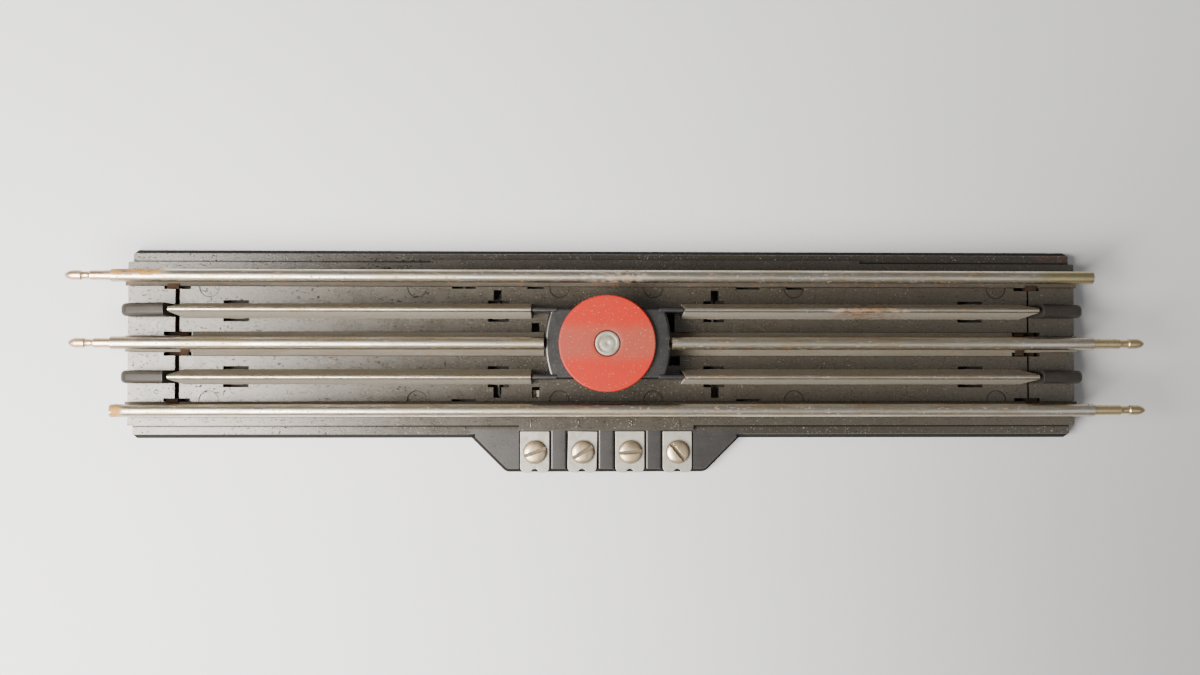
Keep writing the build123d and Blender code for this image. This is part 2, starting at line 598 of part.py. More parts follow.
def make_end_tie(end):
    """A steel strip under the deck whose ears grip the feet of both outer rails."""
    x0, x1 = mirrored(TIE_X, end)
    ear = OUTER_EDGE_Y - TIE_EAR_INSET
    body = span(x0, x1, -ear - TAB_THICKNESS, ear + TAB_THICKNESS, CAVITY_TOP - TIE_THICKNESS, CAVITY_TOP)
    for side in SIDES.values():
        body += span(x0, x1, side * ear, side * (ear + TAB_THICKNESS), CAVITY_TOP - TIE_THICKNESS, EAR_TOP)
        body += span(x0, x1, side * ear, side * (ear + TIE_HOOK), EAR_TOP - HOOK_THICKNESS, EAR_TOP)
    return body


def make_centre_clip(end):
    """A steel staple that grips the foot of a centre rail."""
    x0, x1 = mirrored(CLIP_X, end)
    ear = CENTRE_FOOT_WIDTH / 2 - CLIP_EAR_INSET
    edge = ear + TAB_THICKNESS
    body = span(x0, x1, -edge, edge, CAVITY_TOP - TIE_THICKNESS, CAVITY_TOP)
    for side in SIDES.values():
        body += span(x0, x1, side * ear, side * edge, CAVITY_TOP - TIE_THICKNESS, EAR_TOP)
        body += span(x0, x1, side * CLIP_HOOK_Y, side * edge, EAR_TOP - HOOK_THICKNESS, EAR_TOP)
    return body


# ---------------------------------------------------------------- magnet
def make_core():
    """The steel core, riveted into the yoke and the cap."""
    top = CAP_TOP + CORE_PROUD
    body = post(MAGNET_X, 0, YOKE_BOTTOM, top, CORE_R)
    rim = [edge for edge in body.edges() if edge.center().Z > top - 0.01]
    body = chamfer(rim, CORE_CHAMFER)
    inner, outer = CORE_RING_R
    floor = top - CORE_RING_DEPTH
    ring = post(MAGNET_X, 0, floor, top + 1, outer) - post(MAGNET_X, 0, floor - 1, top + 2, inner)
    dimple = Pos(MAGNET_X, 0, top - CORE_RING_DEPTH) * Cone(0.1, CORE_DIMPLE_R, 2 * CORE_RING_DEPTH)
    return body - ring - dimple


def make_cap():
    """The round pole plate on top of the magnet."""
    body = post(MAGNET_X, 0, CAP_BOTTOM, CAP_TOP, CAP_RADIUS)
    body = fillet([edge for edge in body.edges() if edge.center().Z > CAP_TOP - 0.01], CAP_EDGE)
    return body - post(MAGNET_X, 0, 0, CAP_TOP + 1, CORE_R)


def make_bobbin():
    bottom, top = YOKE_TOP, BOBBIN_TOP
    body = post(MAGNET_X, 0, bottom, top, BOBBIN_TUBE_R)
    body += post(MAGNET_X, 0, bottom, bottom + BOBBIN_FLANGE, BOBBIN_FLANGE_R)
    body += post(MAGNET_X, 0, top - BOBBIN_FLANGE, top, BOBBIN_FLANGE_R)
    return body - post(MAGNET_X, 0, 0, top + 1, CORE_R + CORE_CLEARANCE)


def make_winding():
    body = post(MAGNET_X, 0, YOKE_TOP + BOBBIN_FLANGE, BOBBIN_TOP - BOBBIN_FLANGE, WINDING_R)
    return body - post(MAGNET_X, 0, 0, BOBBIN_TOP, BOBBIN_TUBE_R)


def make_yoke():
    """A U-shaped steel yoke around the coil."""
    half = YOKE_HALF_LENGTH
    body = span(MAGNET_X - half, MAGNET_X + half, -YOKE_HALF_WIDTH, YOKE_HALF_WIDTH, YOKE_BOTTOM, YOKE_TOP)
    for end in ENDS.values():
        outer = MAGNET_X + end * half
        body += span(outer, outer - end * YOKE_THICKNESS, -YOKE_LEG_WIDTH / 2, YOKE_LEG_WIDTH / 2,
                     YOKE_BOTTOM, YOKE_LEG_TOP)
    return body - post(MAGNET_X, 0, 0, YOKE_TOP + 1, CORE_R)


# ---------------------------------------------------------------- terminals
def make_clamp_plate(number):
    x = TERMINAL_X[number - 1]
    half = PLATE_WIDTH / 2
    body = span(x - half, x + half, BLOCK_EDGE_Y, PLATE_INNER_Y, PLATE_FLOOR, LOWER_TOP)
    corners = [edge for edge in body.edges().filter_by(Axis.Z) if edge.center().Y < BLOCK_EDGE_Y + 0.01]
    body = fillet(corners, PLATE_CORNER)
    body -= post(x, BLOCK_EDGE_Y, 0, DECK_TOP, PLATE_NOTCH_R)
    body -= post(x, TERMINAL_Y, 0, DECK_TOP, SCREW_R + HOLE_CLEARANCE)
    return body.rotate(Axis((x, TERMINAL_Y, 0), (0, 0, 1)), PLATE_TURN.get(number, 0))


def make_terminal_screw(number):
    """A slotted round-head screw; its head rests on the clamp plate."""
    crown = LOWER_TOP + SCREW_HEAD_HEIGHT
    rim = LOWER_TOP + SCREW_RIM
    shoulder = (SCREW_HEAD_R * SCREW_SHOULDER, rim + SCREW_SHOULDER_RISE)
    run = [Polyline((0, SCREW_END), (SCREW_R - SCREW_POINT, SCREW_END), (SCREW_R, SCREW_END + SCREW_POINT),
                    (SCREW_R, LOWER_TOP), (SCREW_HEAD_R, LOWER_TOP), (SCREW_HEAD_R, rim)),
           ThreePointArc((SCREW_HEAD_R, rim), shoulder, (0, crown)),
           Line((0, crown), (0, SCREW_END))]
    body = revolve(Plane.XZ * make_face(run), Axis.Z)
    slot = span(-SCREW_HEAD_R - 1, SCREW_HEAD_R + 1, -SCREW_SLOT_WIDTH / 2, SCREW_SLOT_WIDTH / 2,
                crown - SCREW_SLOT_DEPTH, crown + 1)
    body -= Rotation(0, 0, SCREW_SLOT_TURN[number]) * slot
    return Pos(TERMINAL_X[number - 1], TERMINAL_Y, 0) * body


def make_contact_strip(number):
    """A tapped brass strip under the block, with a solder lug inside the base."""
    x = TERMINAL_X[number - 1]
    wide, narrow = STRIP_WIDTH / 2, STRIP_TAIL_WIDTH / 2
    body = span(x - wide, x + wide, TERMINAL_Y - STRIP_OUT, STRIP_NECK_Y, COVER_TOP, STRIP_TOP)
    body += span(x - narrow, x + narrow, STRIP_NECK_Y, STRIP_INNER_Y, COVER_TOP, STRIP_TOP)
    body += span(x - narrow, x + narrow, STRIP_INNER_Y - STRIP_LUG, STRIP_INNER_Y, COVER_TOP,
                 CAVITY_TOP - LUG_TOP_GAP)
    if number == 1:
        first, last = (STRIP_INNER_Y + y for y in TEST_LUG_IN)
        inner, outer = TEST_LUG_X
        body += span(x - inner, x + outer, STRIP_INNER_Y, last, COVER_TOP, STRIP_TOP)
        body += span(x + inner, x + outer, first, last, COVER_TOP, DECK_TOP - TEST_LUG_DROP)
    return body - post(x, TERMINAL_Y, 0, DECK_TOP, SCREW_R + THREAD_CLEARANCE)


# ---------------------------------------------------------------- wires
def wire(name, points):
    """A round wire along straight runs joined by arcs as large as the runs allow."""
    vectors = [Vector(*p) for p in points]
    radii = []
    for before, here, after in zip(vectors, vectors[1:], vectors[2:]):
        run_in, run_out = here - before, after - here
        half_turn = math.radians(run_in.get_angle(run_out)) / 2
        radii.append(0.45 * min(run_in.length, run_out.length) / math.tan(half_turn))
    print(f"{name}: bend radii {', '.join(f'{radius:.1f}' for radius in radii)} mm")
    path = FilletPolyline(*points, radius=radii)
    start = Plane(origin=path @ 0, z_dir=path % 0)
    return sweep(start * Circle(WIRE_R), path=path)


def wire_routes():
    """Every wire under the deck: its ends butt on the lugs and tabs that it joins."""
    lug = [(x, STRIP_INNER_Y, WIRE_HIGH) for x in TERMINAL_X]
    control_x = (CONTROL_TAB_X[0][0] + CONTROL_TAB_X[0][1]) / 2
    centre_x = (CENTRE_TAB_X[0][0] + CENTRE_TAB_X[0][1]) / 2
    outer_x = (OUTER_TAB_X[0] + OUTER_TAB_X[1]) / 2
    control_out = CONTROL_Y + CONTROL_FOOT / 2
    control_in = CONTROL_Y - CONTROL_FOOT / 2
    web = WEB_THICKNESS / 2
    side_x, side_y = COIL_LEAD
    reach = math.hypot(side_x, side_y)
    coil_x, coil_y = side_x * WINDING_R / reach, side_y * WINDING_R / reach
    strip_side = TERMINAL_X[0] - STRIP_TAIL_WIDTH / 2
    return {
        "lead_near_rail": [
            (strip_side, STRIP_INNER_Y - STRIP_LUG / 2, WIRE_HIGH),
            (-24.4, STRIP_INNER_Y - STRIP_LUG / 2, WIRE_HIGH),
            (-control_x, -14.2, WIRE_HIGH), (-control_x, -control_out, WIRE_HIGH)],
        "lead_centre_rail": [
            lug[1], (TERMINAL_X[1], -11.9, WIRE_HIGH), (-12.6, -9.0, WIRE_HIGH), (-20.6, -7.6, WIRE_HIGH),
            (-centre_x, -4.6, WIRE_HIGH), (-centre_x, -web, WIRE_HIGH)],
        "lead_coil": [
            lug[2], (TERMINAL_X[2], -11.2, WIRE_HIGH), (MAGNET_X + side_x, -side_y, WIRE_HIGH),
            (MAGNET_X + side_x, -side_y, COIL_LEAD_Z), (MAGNET_X + coil_x, -coil_y, COIL_LEAD_Z)],
        "lead_far_rail": [
            lug[3], (TERMINAL_X[3], -11.4, WIRE_HIGH), (22.9, -5.0, WIRE_HIGH), (27.3, -1.2, WIRE_HIGH),
            (control_x, 2.6, WIRE_HIGH), (control_x, control_in, WIRE_HIGH)],
        "lead_coil_to_outer_rail": [
            (MAGNET_X - coil_x, coil_y, COIL_LEAD_Z), (MAGNET_X - side_x, side_y, COIL_LEAD_Z),
            (MAGNET_X - side_x, side_y, WIRE_HIGH), (-9.8, 11.7, WIRE_HIGH), (-20.5, 13.0, WIRE_HIGH),
            (-33.5, 11.2, WIRE_HIGH), (-outer_x, 12.2, WIRE_HIGH), (-outer_x, OUTER_EDGE_Y, WIRE_HIGH)],
        "centre_rail_jumper": [
            (-centre_x, web, WIRE_LOW), (-centre_x, 4.6, WIRE_LOW), (-18.2, 9.0, WIRE_LOW),
            (-9.0, 10.3, WIRE_LOW), (9.0, 10.1, WIRE_LOW), (18.2, 9.1, WIRE_LOW),
            (centre_x, 4.6, WIRE_LOW), (centre_x, web, WIRE_LOW)],
        "far_rail_jumper": [
            (-control_x, control_out, WIRE_LOW), (-control_x, 13.2, WIRE_LOW),
            (-24.0, 13.9, WIRE_LOW), (0.0, 13.2, WIRE_LOW), (24.0, 13.9, WIRE_LOW),
            (control_x, 13.2, WIRE_LOW), (control_x, control_out, WIRE_LOW)],
        "near_rail_jumper": [
            (-control_x, -control_out, WIRE_LOW), (-control_x, -13.0, WIRE_LOW),
            (-24.2, -13.4, WIRE_LOW), (-19.4, -10.5, WIRE_LOW), (0.0, -9.6, WIRE_LOW),
            (19.4, -10.5, WIRE_LOW), (24.2, -13.4, WIRE_LOW), (control_x, -13.0, WIRE_LOW),
            (control_x, -control_out, WIRE_LOW)],
    }


# ---------------------------------------------------------------- everything
def all_parts():
    parts = {
        "base": make_base(),
        "bottom_cover": make_bottom_cover(),
        "cover_screws": make_cover_screws(),
        "outer_rail_far": make_outer_rail(1, ("pin", "socket")),
        "outer_rail_near": make_outer_rail(-1, ("socket", "pin")),
        "magnet_core": make_core(),
        "magnet_cap": make_cap(),
        "coil_bobbin": make_bobbin(),
        "coil_winding": make_winding(),
        "magnet_yoke": make_yoke(),
        "track_pin_far_left": make_pin(-1, OUTER_Y, PIN_REACH["far_left"]),
        "track_pin_centre_left": make_pin(-1, 0, PIN_REACH["centre_left"]),
        "track_pin_centre_right": make_pin(1, 0, PIN_REACH["centre_right"]),
        "track_pin_near_right": make_pin(1, -OUTER_Y, PIN_REACH["near_right"]),
    }
    for end_name, end in ENDS.items():
        parts[f"centre_rail_{end_name}"] = make_centre_rail(end)
        parts[f"end_tie_{end_name}"] = make_end_tie(end)
        parts[f"centre_clip_{end_name}"] = make_centre_clip(end)
        for side_name, side in SIDES.items():
            parts[f"control_rail_{side_name}_{end_name}"] = make_control_rail(end, side)
    for number in range(1, TERMINAL_COUNT + 1):
        parts[f"clamp_plate_{number}"] = make_clamp_plate(number)
        parts[f"terminal_screw_{number}"] = make_terminal_screw(number)
        parts[f"contact_strip_{number}"] = make_contact_strip(number)
    for name, points in wire_routes().items():
        parts[name] = wire(name, points)
    return parts


os.makedirs("parts", exist_ok=True)
for node, shape in all_parts().items():
    solids = [s for item in (shape if isinstance(shape, list) else [shape]) for s in item.solids()]
    export_step(Compound(children=solids) if len(solids) > 1 else solids[0], f"parts/{node}.step")
    print(f"{node}: {len(solids)} solid(s), {sum(s.volume for s in solids):.1f} mm3")
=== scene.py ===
"""Looks of a three-rail remote-control track section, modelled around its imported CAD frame.

Lengths are millimetres until a vertex is placed; MM turns them into Blender's metres.
+X runs along the rails, +Y away from the screw terminals, +Z up.
"""
import math

import bpy
from mathutils import Euler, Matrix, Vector


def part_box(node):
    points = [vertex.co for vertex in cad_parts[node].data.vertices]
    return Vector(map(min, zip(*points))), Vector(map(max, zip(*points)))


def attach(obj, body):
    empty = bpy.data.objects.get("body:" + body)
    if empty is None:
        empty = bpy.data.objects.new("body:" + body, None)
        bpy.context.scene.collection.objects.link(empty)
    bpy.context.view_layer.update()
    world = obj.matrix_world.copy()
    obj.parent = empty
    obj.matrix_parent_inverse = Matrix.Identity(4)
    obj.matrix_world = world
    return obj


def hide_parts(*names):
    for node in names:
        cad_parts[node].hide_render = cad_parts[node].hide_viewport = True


bl_info = {
    "name": "Remote-Control Track Section",
    "version": (1, 0, 0),
    "blender": (4, 5, 0),
    "location": "3D View > Sidebar > Track",
    "description": "Models the pieces, finishes and stage of a three-rail remote-control track section",
    "category": "Object",
}

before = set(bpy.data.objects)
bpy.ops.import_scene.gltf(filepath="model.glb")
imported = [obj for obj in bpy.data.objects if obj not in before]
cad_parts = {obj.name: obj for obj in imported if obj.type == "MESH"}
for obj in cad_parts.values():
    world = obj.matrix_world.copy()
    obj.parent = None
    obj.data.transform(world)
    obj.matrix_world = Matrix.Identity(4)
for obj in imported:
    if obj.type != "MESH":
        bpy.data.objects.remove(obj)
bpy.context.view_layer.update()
MM = 0.001
ROOT = "root"
SIDES = {"far": 1, "near": -1}
ENDS = {"left": -1, "right": 1}
NUMBERS = (1, 2, 3, 4)


def node_box(node):
    """Lowest and highest corner of a CAD node, in millimetres."""
    low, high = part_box(node)
    return low / MM, high / MM


def middle(node):
    """Centre of a CAD node's box, in millimetres."""
    low, high = node_box(node)
    return (low + high) / 2


# ------------------------------------------------------------------ sizes and colours
def length(label, text, millimetres):
    return bpy.props.FloatProperty(name=label, description=text, default=millimetres * MM, unit="LENGTH",
                                   precision=5)


def colour(label, text, value):
    return bpy.props.FloatVectorProperty(name=label, description=text, default=value, subtype="COLOR",
                                         size=3, min=0.0, max=1.0)


def amount(label, text, value):
    return bpy.props.FloatProperty(name=label, description=text, default=value, min=0.0)


class BaseSettings(bpy.types.PropertyGroup):
    lower_top: length("Lower step", "Height of the wide lower step", 3.8)
    deck_top: length("Deck", "Height of the raised deck", 5.4)
    deck_half: length("Deck half width", "From the middle to the deck's edge", 21.6)
    slope: length("Side slope", "How far the lower side walls lean out", 1.17)
    edge: length("Edge radius", "Rounding of the moulding's edges", 0.14)
    deck_colour: colour("Deck", "Olive brown of the dusty deck", (0.034, 0.027, 0.017))
    tower_colour: colour("Housing", "Blue black of the clean plastic", (0.006, 0.006, 0.008))
    ramp_colour: colour("Ramps", "Grey brown of the rubbed ramps", (0.020, 0.017, 0.015))
    dust_colour: colour("Dust", "Dust and specks on the plastic", (0.42, 0.37, 0.29))


class RailSettings(bpy.types.PropertyGroup):
    head: length("Head", "Outer radius of the rolled head", 1.65)
    sheet: length("Sheet", "Thickness of the running rails' sheet", 0.44)
    control_sheet: length("Control sheet", "Thickness of the control rails' sheet", 0.57)
    steel_colour: colour("Steel", "Tinned steel of the rails", (0.66, 0.61, 0.52))
    tarnish_colour: colour("Tarnish", "Yellowish tarnish on the steel", (0.38, 0.31, 0.19))
    flank_colour: colour("Flanks", "Greyed flanks of the control rails", (0.42, 0.385, 0.32))
    # The feet's colour stands for dirt and painted shade under the rail heads
    foot_colour: colour("Feet", "Dirt on the feet of the outer rails", (0.040, 0.034, 0.025))
    centre_foot_colour: colour("Centre foot", "Beige film on the centre rail's foot", (0.14, 0.125, 0.095))
    rust_colour: colour("Rust", "Rust on the steel", (0.24, 0.09, 0.03))
    ochre_colour: colour("Fresh rust", "Ochre rust at the left ends", (0.44, 0.20, 0.02))
    pale_pin_colour: colour("Pale pins", "Plated pins at the left", (0.82, 0.60, 0.40))
    brass_pin_colour: colour("Brass pins", "Brass pins at the right", (0.64, 0.51, 0.29))


class MagnetSettings(bpy.types.PropertyGroup):
    cap_edge: length("Cap edge", "Rounding of the cap's rim", 0.4)
    red_colour: colour("Red", "Orange red enamel of the cap", (0.42, 0.016, 0.005))
    worn_colour: colour("Worn band", "Grey brown where shoes wore the enamel", (0.22, 0.075, 0.045))
    core_colour: colour("Core", "Steel of the core", (0.40, 0.37, 0.31))


class TerminalSettings(bpy.types.PropertyGroup):
    plate_radius: length("Plate corner", "Corner radius of the clamp plates", 1.5)
    slot_width: length("Screw slot", "Width of the slot in a screw's head", 0.95)
    numeral: length("Numerals", "Height of the moulded numerals", 2.2)
    plate_colour: colour("Plates", "Dull tin of the clamp plates", (0.45, 0.42, 0.36))
    screw_colour: colour("Screws", "Warm plated steel of the screws", (0.78, 0.63, 0.42))


class StageSettings(bpy.types.PropertyGroup):
    floor_colour: colour("Floor", "Plain pale floor", (0.76, 0.745, 0.74))
    # Painted shade: the floor's colour darkens towards the right and front
    shade_colour: colour("Floor shade", "Where the floor darkens towards the right", (0.36, 0.35, 0.35))
    softbox_power: amount("Softbox", "Power of the large softbox at the left, in watts", 6.4)
    fill_power: amount("Fill", "Power of the overhead fill, in watts", 0.5)
    sky: amount("Sky", "Strength of the even light from all around", 0.25)


SETTINGS = {"base": BaseSettings, "rails": RailSettings, "magnet": MagnetSettings,
            "terminals": TerminalSettings, "stage": StageSettings}


def settings(group):
    return getattr(bpy.context.scene, f"track_{group}")


# ------------------------------------------------------------------ modelling by hand
def deselect():
    if bpy.context.object and bpy.context.object.mode != "OBJECT":
        bpy.ops.object.mode_set(mode="OBJECT")
    bpy.ops.object.select_all(action="DESELECT")


def only(piece):
    deselect()
    piece.select_set(True)
    bpy.context.view_layer.objects.active = piece


def editing(piece, pick="ALL"):
    """Edit mode on one piece, with everything or nothing selected."""
    only(piece)
    bpy.ops.object.mode_set(mode="EDIT")
    bpy.ops.mesh.select_all(action="SELECT" if pick == "ALL" else "DESELECT")


def done():
    bpy.ops.object.mode_set(mode="OBJECT")


def block(name, xs, ys, zs):
    """A cube primitive stretched between two corners, as a start."""
    deselect()
    low = Vector((min(xs), min(ys), min(zs)))
    high = Vector((max(xs), max(ys), max(zs)))
    bpy.ops.mesh.primitive_cube_add(size=1, location=(low + high) / 2 * MM, scale=(high - low) * MM)
    piece = bpy.context.object
    piece.name = name
    bpy.ops.object.transform_apply(location=True, rotation=True, scale=True)
    return piece


def post(name, x, y, zs, radius, sides=48):
    """A cylinder primitive standing on a spot, as a start or a cutter."""
    deselect()
    bpy.ops.mesh.primitive_cylinder_add(vertices=sides, radius=radius * MM, depth=abs(zs[1] - zs[0]) * MM,
                                        location=(x * MM, y * MM, sum(zs) / 2 * MM))
    piece = bpy.context.object
    piece.name = name
    bpy.ops.object.transform_apply(location=True, rotation=True, scale=True)
    return piece


def traced(name, points, fill):
    """A circle primitive whose vertices are drawn out to the given points."""
    deselect()
    bpy.ops.mesh.primitive_circle_add(vertices=len(points), radius=MM, fill_type=fill)
    piece = bpy.context.object
    piece.name = name
    for vertex, point in zip(piece.data.vertices, points):
        vertex.co = Vector(point) * MM
    return piece


def prism(name, outline, axis, start, end):
    """A solid drawn out along an axis from a closed outline on the other two."""
    def place(point):
        a, b = point
        return {"X": (start, a, b), "Y": (a, start, b), "Z": (a, b, start)}[axis]
    piece = traced(name, [place(p) for p in outline], "NGON")
    way = {"X": (1, 0, 0), "Y": (0, 1, 0), "Z": (0, 0, 1)}[axis]
    editing(piece)
    bpy.ops.mesh.extrude_region_move(TRANSFORM_OT_translate={"value": Vector(way) * (end - start) * MM})
    bpy.ops.mesh.select_all(action="SELECT")
    bpy.ops.mesh.normals_make_consistent(inside=False)
    done()
    return piece


def open_path(name, points):
    """A traced line with no closing edge."""
    piece = traced(name, points, "NOTHING")
    last = len(points) - 1
    editing(piece, "NONE")
    bpy.ops.mesh.select_mode(type="EDGE")
    done()
    for edge in piece.data.edges:
        edge.select = set(edge.vertices) == {0, last}
    bpy.ops.object.mode_set(mode="EDIT")
    bpy.ops.mesh.delete(type="EDGE")
    done()
    return piece


def folded_sheet(name, path, xs, thickness):
    """Sheet metal bent to a path across Y and Z, and run along X."""
    piece = open_path(name, [(xs[0], y, z) for y, z in path])
    editing(piece)
    bpy.ops.mesh.extrude_region_move(TRANSFORM_OT_translate={"value": ((xs[1] - xs[0]) * MM, 0, 0)})
    done()
    solid = piece.modifiers.new("wall", "SOLIDIFY")
    solid.thickness = thickness * MM
    solid.offset = 0
    solid.use_even_offset = True
    return piece


def spun(name, profile, centre, axis="Z", steps=96):
    """A profile of (radius, distance) turned about an axis through a centre."""
    centre = Vector(centre)
    def place(point):
        radius, along = point
        return centre + Vector((radius, 0, along) if axis == "Z" else (along, 0, radius))
    closed = profile[0] == profile[-1]
    points = [place(p) for p in (profile[:-1] if closed else profile)]
    piece = traced(name, points, "NOTHING") if closed else open_path(name, points)
    editing(piece)
    bpy.ops.mesh.spin(steps=steps, angle=2 * math.pi, center=centre * MM,
                      axis=(0, 0, 1) if axis == "Z" else (1, 0, 0))
    bpy.ops.mesh.select_all(action="SELECT")
    bpy.ops.mesh.remove_doubles(threshold=0.002 * MM)
    bpy.ops.mesh.normals_make_consistent(inside=False)
    done()
    return piece


def bevel_where(piece, wanted, radius, steps=3):
    """Rounds the edges whose middle and direction, in millimetres, are wanted."""
    editing(piece, "NONE")
    bpy.ops.mesh.select_mode(type="EDGE")
    done()
    corners = piece.data.vertices
    for edge in piece.data.edges:
        a, b = (corners[i].co / MM for i in edge.vertices)
        edge.select = bool(wanted((a + b) / 2, (b - a).normalized()))
    bpy.ops.object.mode_set(mode="EDIT")
    bpy.ops.mesh.bevel(offset=radius * MM, segments=steps, affect="EDGES")
    done()


def apply_all(piece):
    only(piece)
    for modifier in list(piece.modifiers):
        bpy.ops.object.modifier_apply(modifier=modifier.name)


def combine(piece, other, operation):
    """Boolean of two solids; the second is used up."""
    cut = piece.modifiers.new("solid", "BOOLEAN")
    cut.operation = operation
    cut.solver = "EXACT"
    cut.object = other
    apply_all(piece)
    bpy.data.objects.remove(other)


def joined(name, pieces):
    """Several solids as one object, one mesh."""
    deselect()
    for piece in pieces:
        piece.select_set(True)
    bpy.context.view_layer.objects.active = pieces[0]
    if len(pieces) > 1:
        bpy.ops.object.join()
    piece = bpy.context.object
    piece.name = name
    return piece


def soften(piece, radius, steps=2, angle=38):
    """Rounds every sharp edge a little."""
    bevel = piece.modifiers.new("edges", "BEVEL")
    bevel.width = radius * MM
    bevel.segments = steps
    bevel.limit_method = "ANGLE"
    bevel.angle_limit = math.radians(angle)
    bevel.use_clamp_overlap = True
    apply_all(piece)


def tidy_mesh(piece, merge=0.001, dissolve=False):
    editing(piece)
    bpy.ops.mesh.remove_doubles(threshold=merge * MM)
    if dissolve:
        bpy.ops.mesh.dissolve_limited(angle_limit=math.radians(0.5))
        bpy.ops.mesh.select_all(action="SELECT")
    bpy.ops.mesh.normals_make_consistent(inside=False)
    done()


def copy_of(piece, name, flip_x=False, flip_y=False, shift=(0, 0, 0)):
    """A copy with its own mesh, mirrored if wanted and moved."""
    only(piece)
    bpy.ops.object.duplicate(linked=False)
    copy = bpy.context.object
    copy.name = name
    bpy.ops.transform.resize(value=(-1 if flip_x else 1, -1 if flip_y else 1, 1),
                             center_override=(0, 0, 0))
    bpy.ops.transform.translate(value=Vector(shift) * MM)
    bpy.ops.object.transform_apply(location=True, rotation=True, scale=True)
    if flip_x != flip_y:
        editing(copy)
        bpy.ops.mesh.normals_make_consistent(inside=False)
        done()
    return copy


def finish(piece, name, material, body=ROOT, replaces=(), angle=32):
    """Names, shades, paints and hands a piece to its body."""
    piece.name = name
    piece.data.name = name
    only(piece)
    bpy.ops.object.transform_apply(location=True, rotation=True, scale=True)
    bpy.ops.object.shade_smooth_by_angle(angle=math.radians(angle))
    level = piece.modifiers.new("level_faces", "WEIGHTED_NORMAL")
    level.keep_sharp = True
    apply_all(piece)
    piece.data.materials.clear()
    piece.data.materials.append(material)
    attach(piece, body)
    if replaces:
        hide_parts(*replaces)
    return piece


def paint(node, material):
    """A CAD node keeps its mesh and gets a finish."""
    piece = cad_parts[node]
    piece.data.materials.clear()
    piece.data.materials.append(material)


def arc(centre, radius, start, end, steps):
    """Points on an arc, with angles in degrees."""
    return [(centre[0] + radius * math.cos(math.radians(start + (end - start) * i / steps)),
             centre[1] + radius * math.sin(math.radians(start + (end - start) * i / steps)))
            for i in range(steps + 1)]


def rounded(corners, radii, steps=6):
    """A closed outline whose corners have the given radii."""
    points = []
    count = len(corners)
    for i, radius in enumerate(radii):
        here = Vector(corners[i])
        if not radius:
            points.append(tuple(here))
            continue
        before, after = Vector(corners[i - 1]) - here, Vector(corners[(i + 1) % count]) - here
        half = before.angle(after) / 2
        back = radius / math.tan(half)
        centre = here + (before.normalized() + after.normalized()).normalized() * radius / math.sin(half)
        first, last = here + before.normalized() * back - centre, here + after.normalized() * back - centre
        turn = first.angle_signed(last)
        for k in range(steps + 1):
            angle = -turn * k / steps
            points.append((centre.x + first.x * math.cos(angle) - first.y * math.sin(angle),
                           centre.y + first.x * math.sin(angle) + first.y * math.cos(angle)))
    return points


# ------------------------------------------------------------------ shader maths
class Value:
    """A shader socket that takes part in Python arithmetic."""

    def __init__(self, maker, socket):
        self.maker = maker
        self.socket = socket

    def _math(self, operation, a, b):
        return self.maker.node("ShaderNodeMath", {"operation": operation}, {0: a, 1: b})

    def __add__(self, other):
        return self._math("ADD", self, other)

    def __radd__(self, other):
        return self._math("ADD", other, self)

    def __sub__(self, other):
        return self._math("SUBTRACT", self, other)

    def __rsub__(self, other):
        return self._math("SUBTRACT", other, self)

    def __mul__(self, other):
        return self._math("MULTIPLY", self, other)

    def __rmul__(self, other):
        return self._math("MULTIPLY", other, self)

    def __truediv__(self, other):
        return self._math("DIVIDE", self, other)

    def __abs__(self):
        return self._math("ABSOLUTE", self, 0.0)

    def between(self, low, high):
        """Rises smoothly from 0 at low to 1 at high; falls where high is below low."""
        if high < low:
            return 1 - self.between(high, low)
        return self.maker.node("ShaderNodeMapRange", {"interpolation_type": "SMOOTHSTEP"},
                               {"Value": self, "From Min": low, "From Max": high})

    def at_most(self, other):
        return self._math("MINIMUM", self, other)

    def at_least(self, other):
        return self._math("MAXIMUM", self, other)


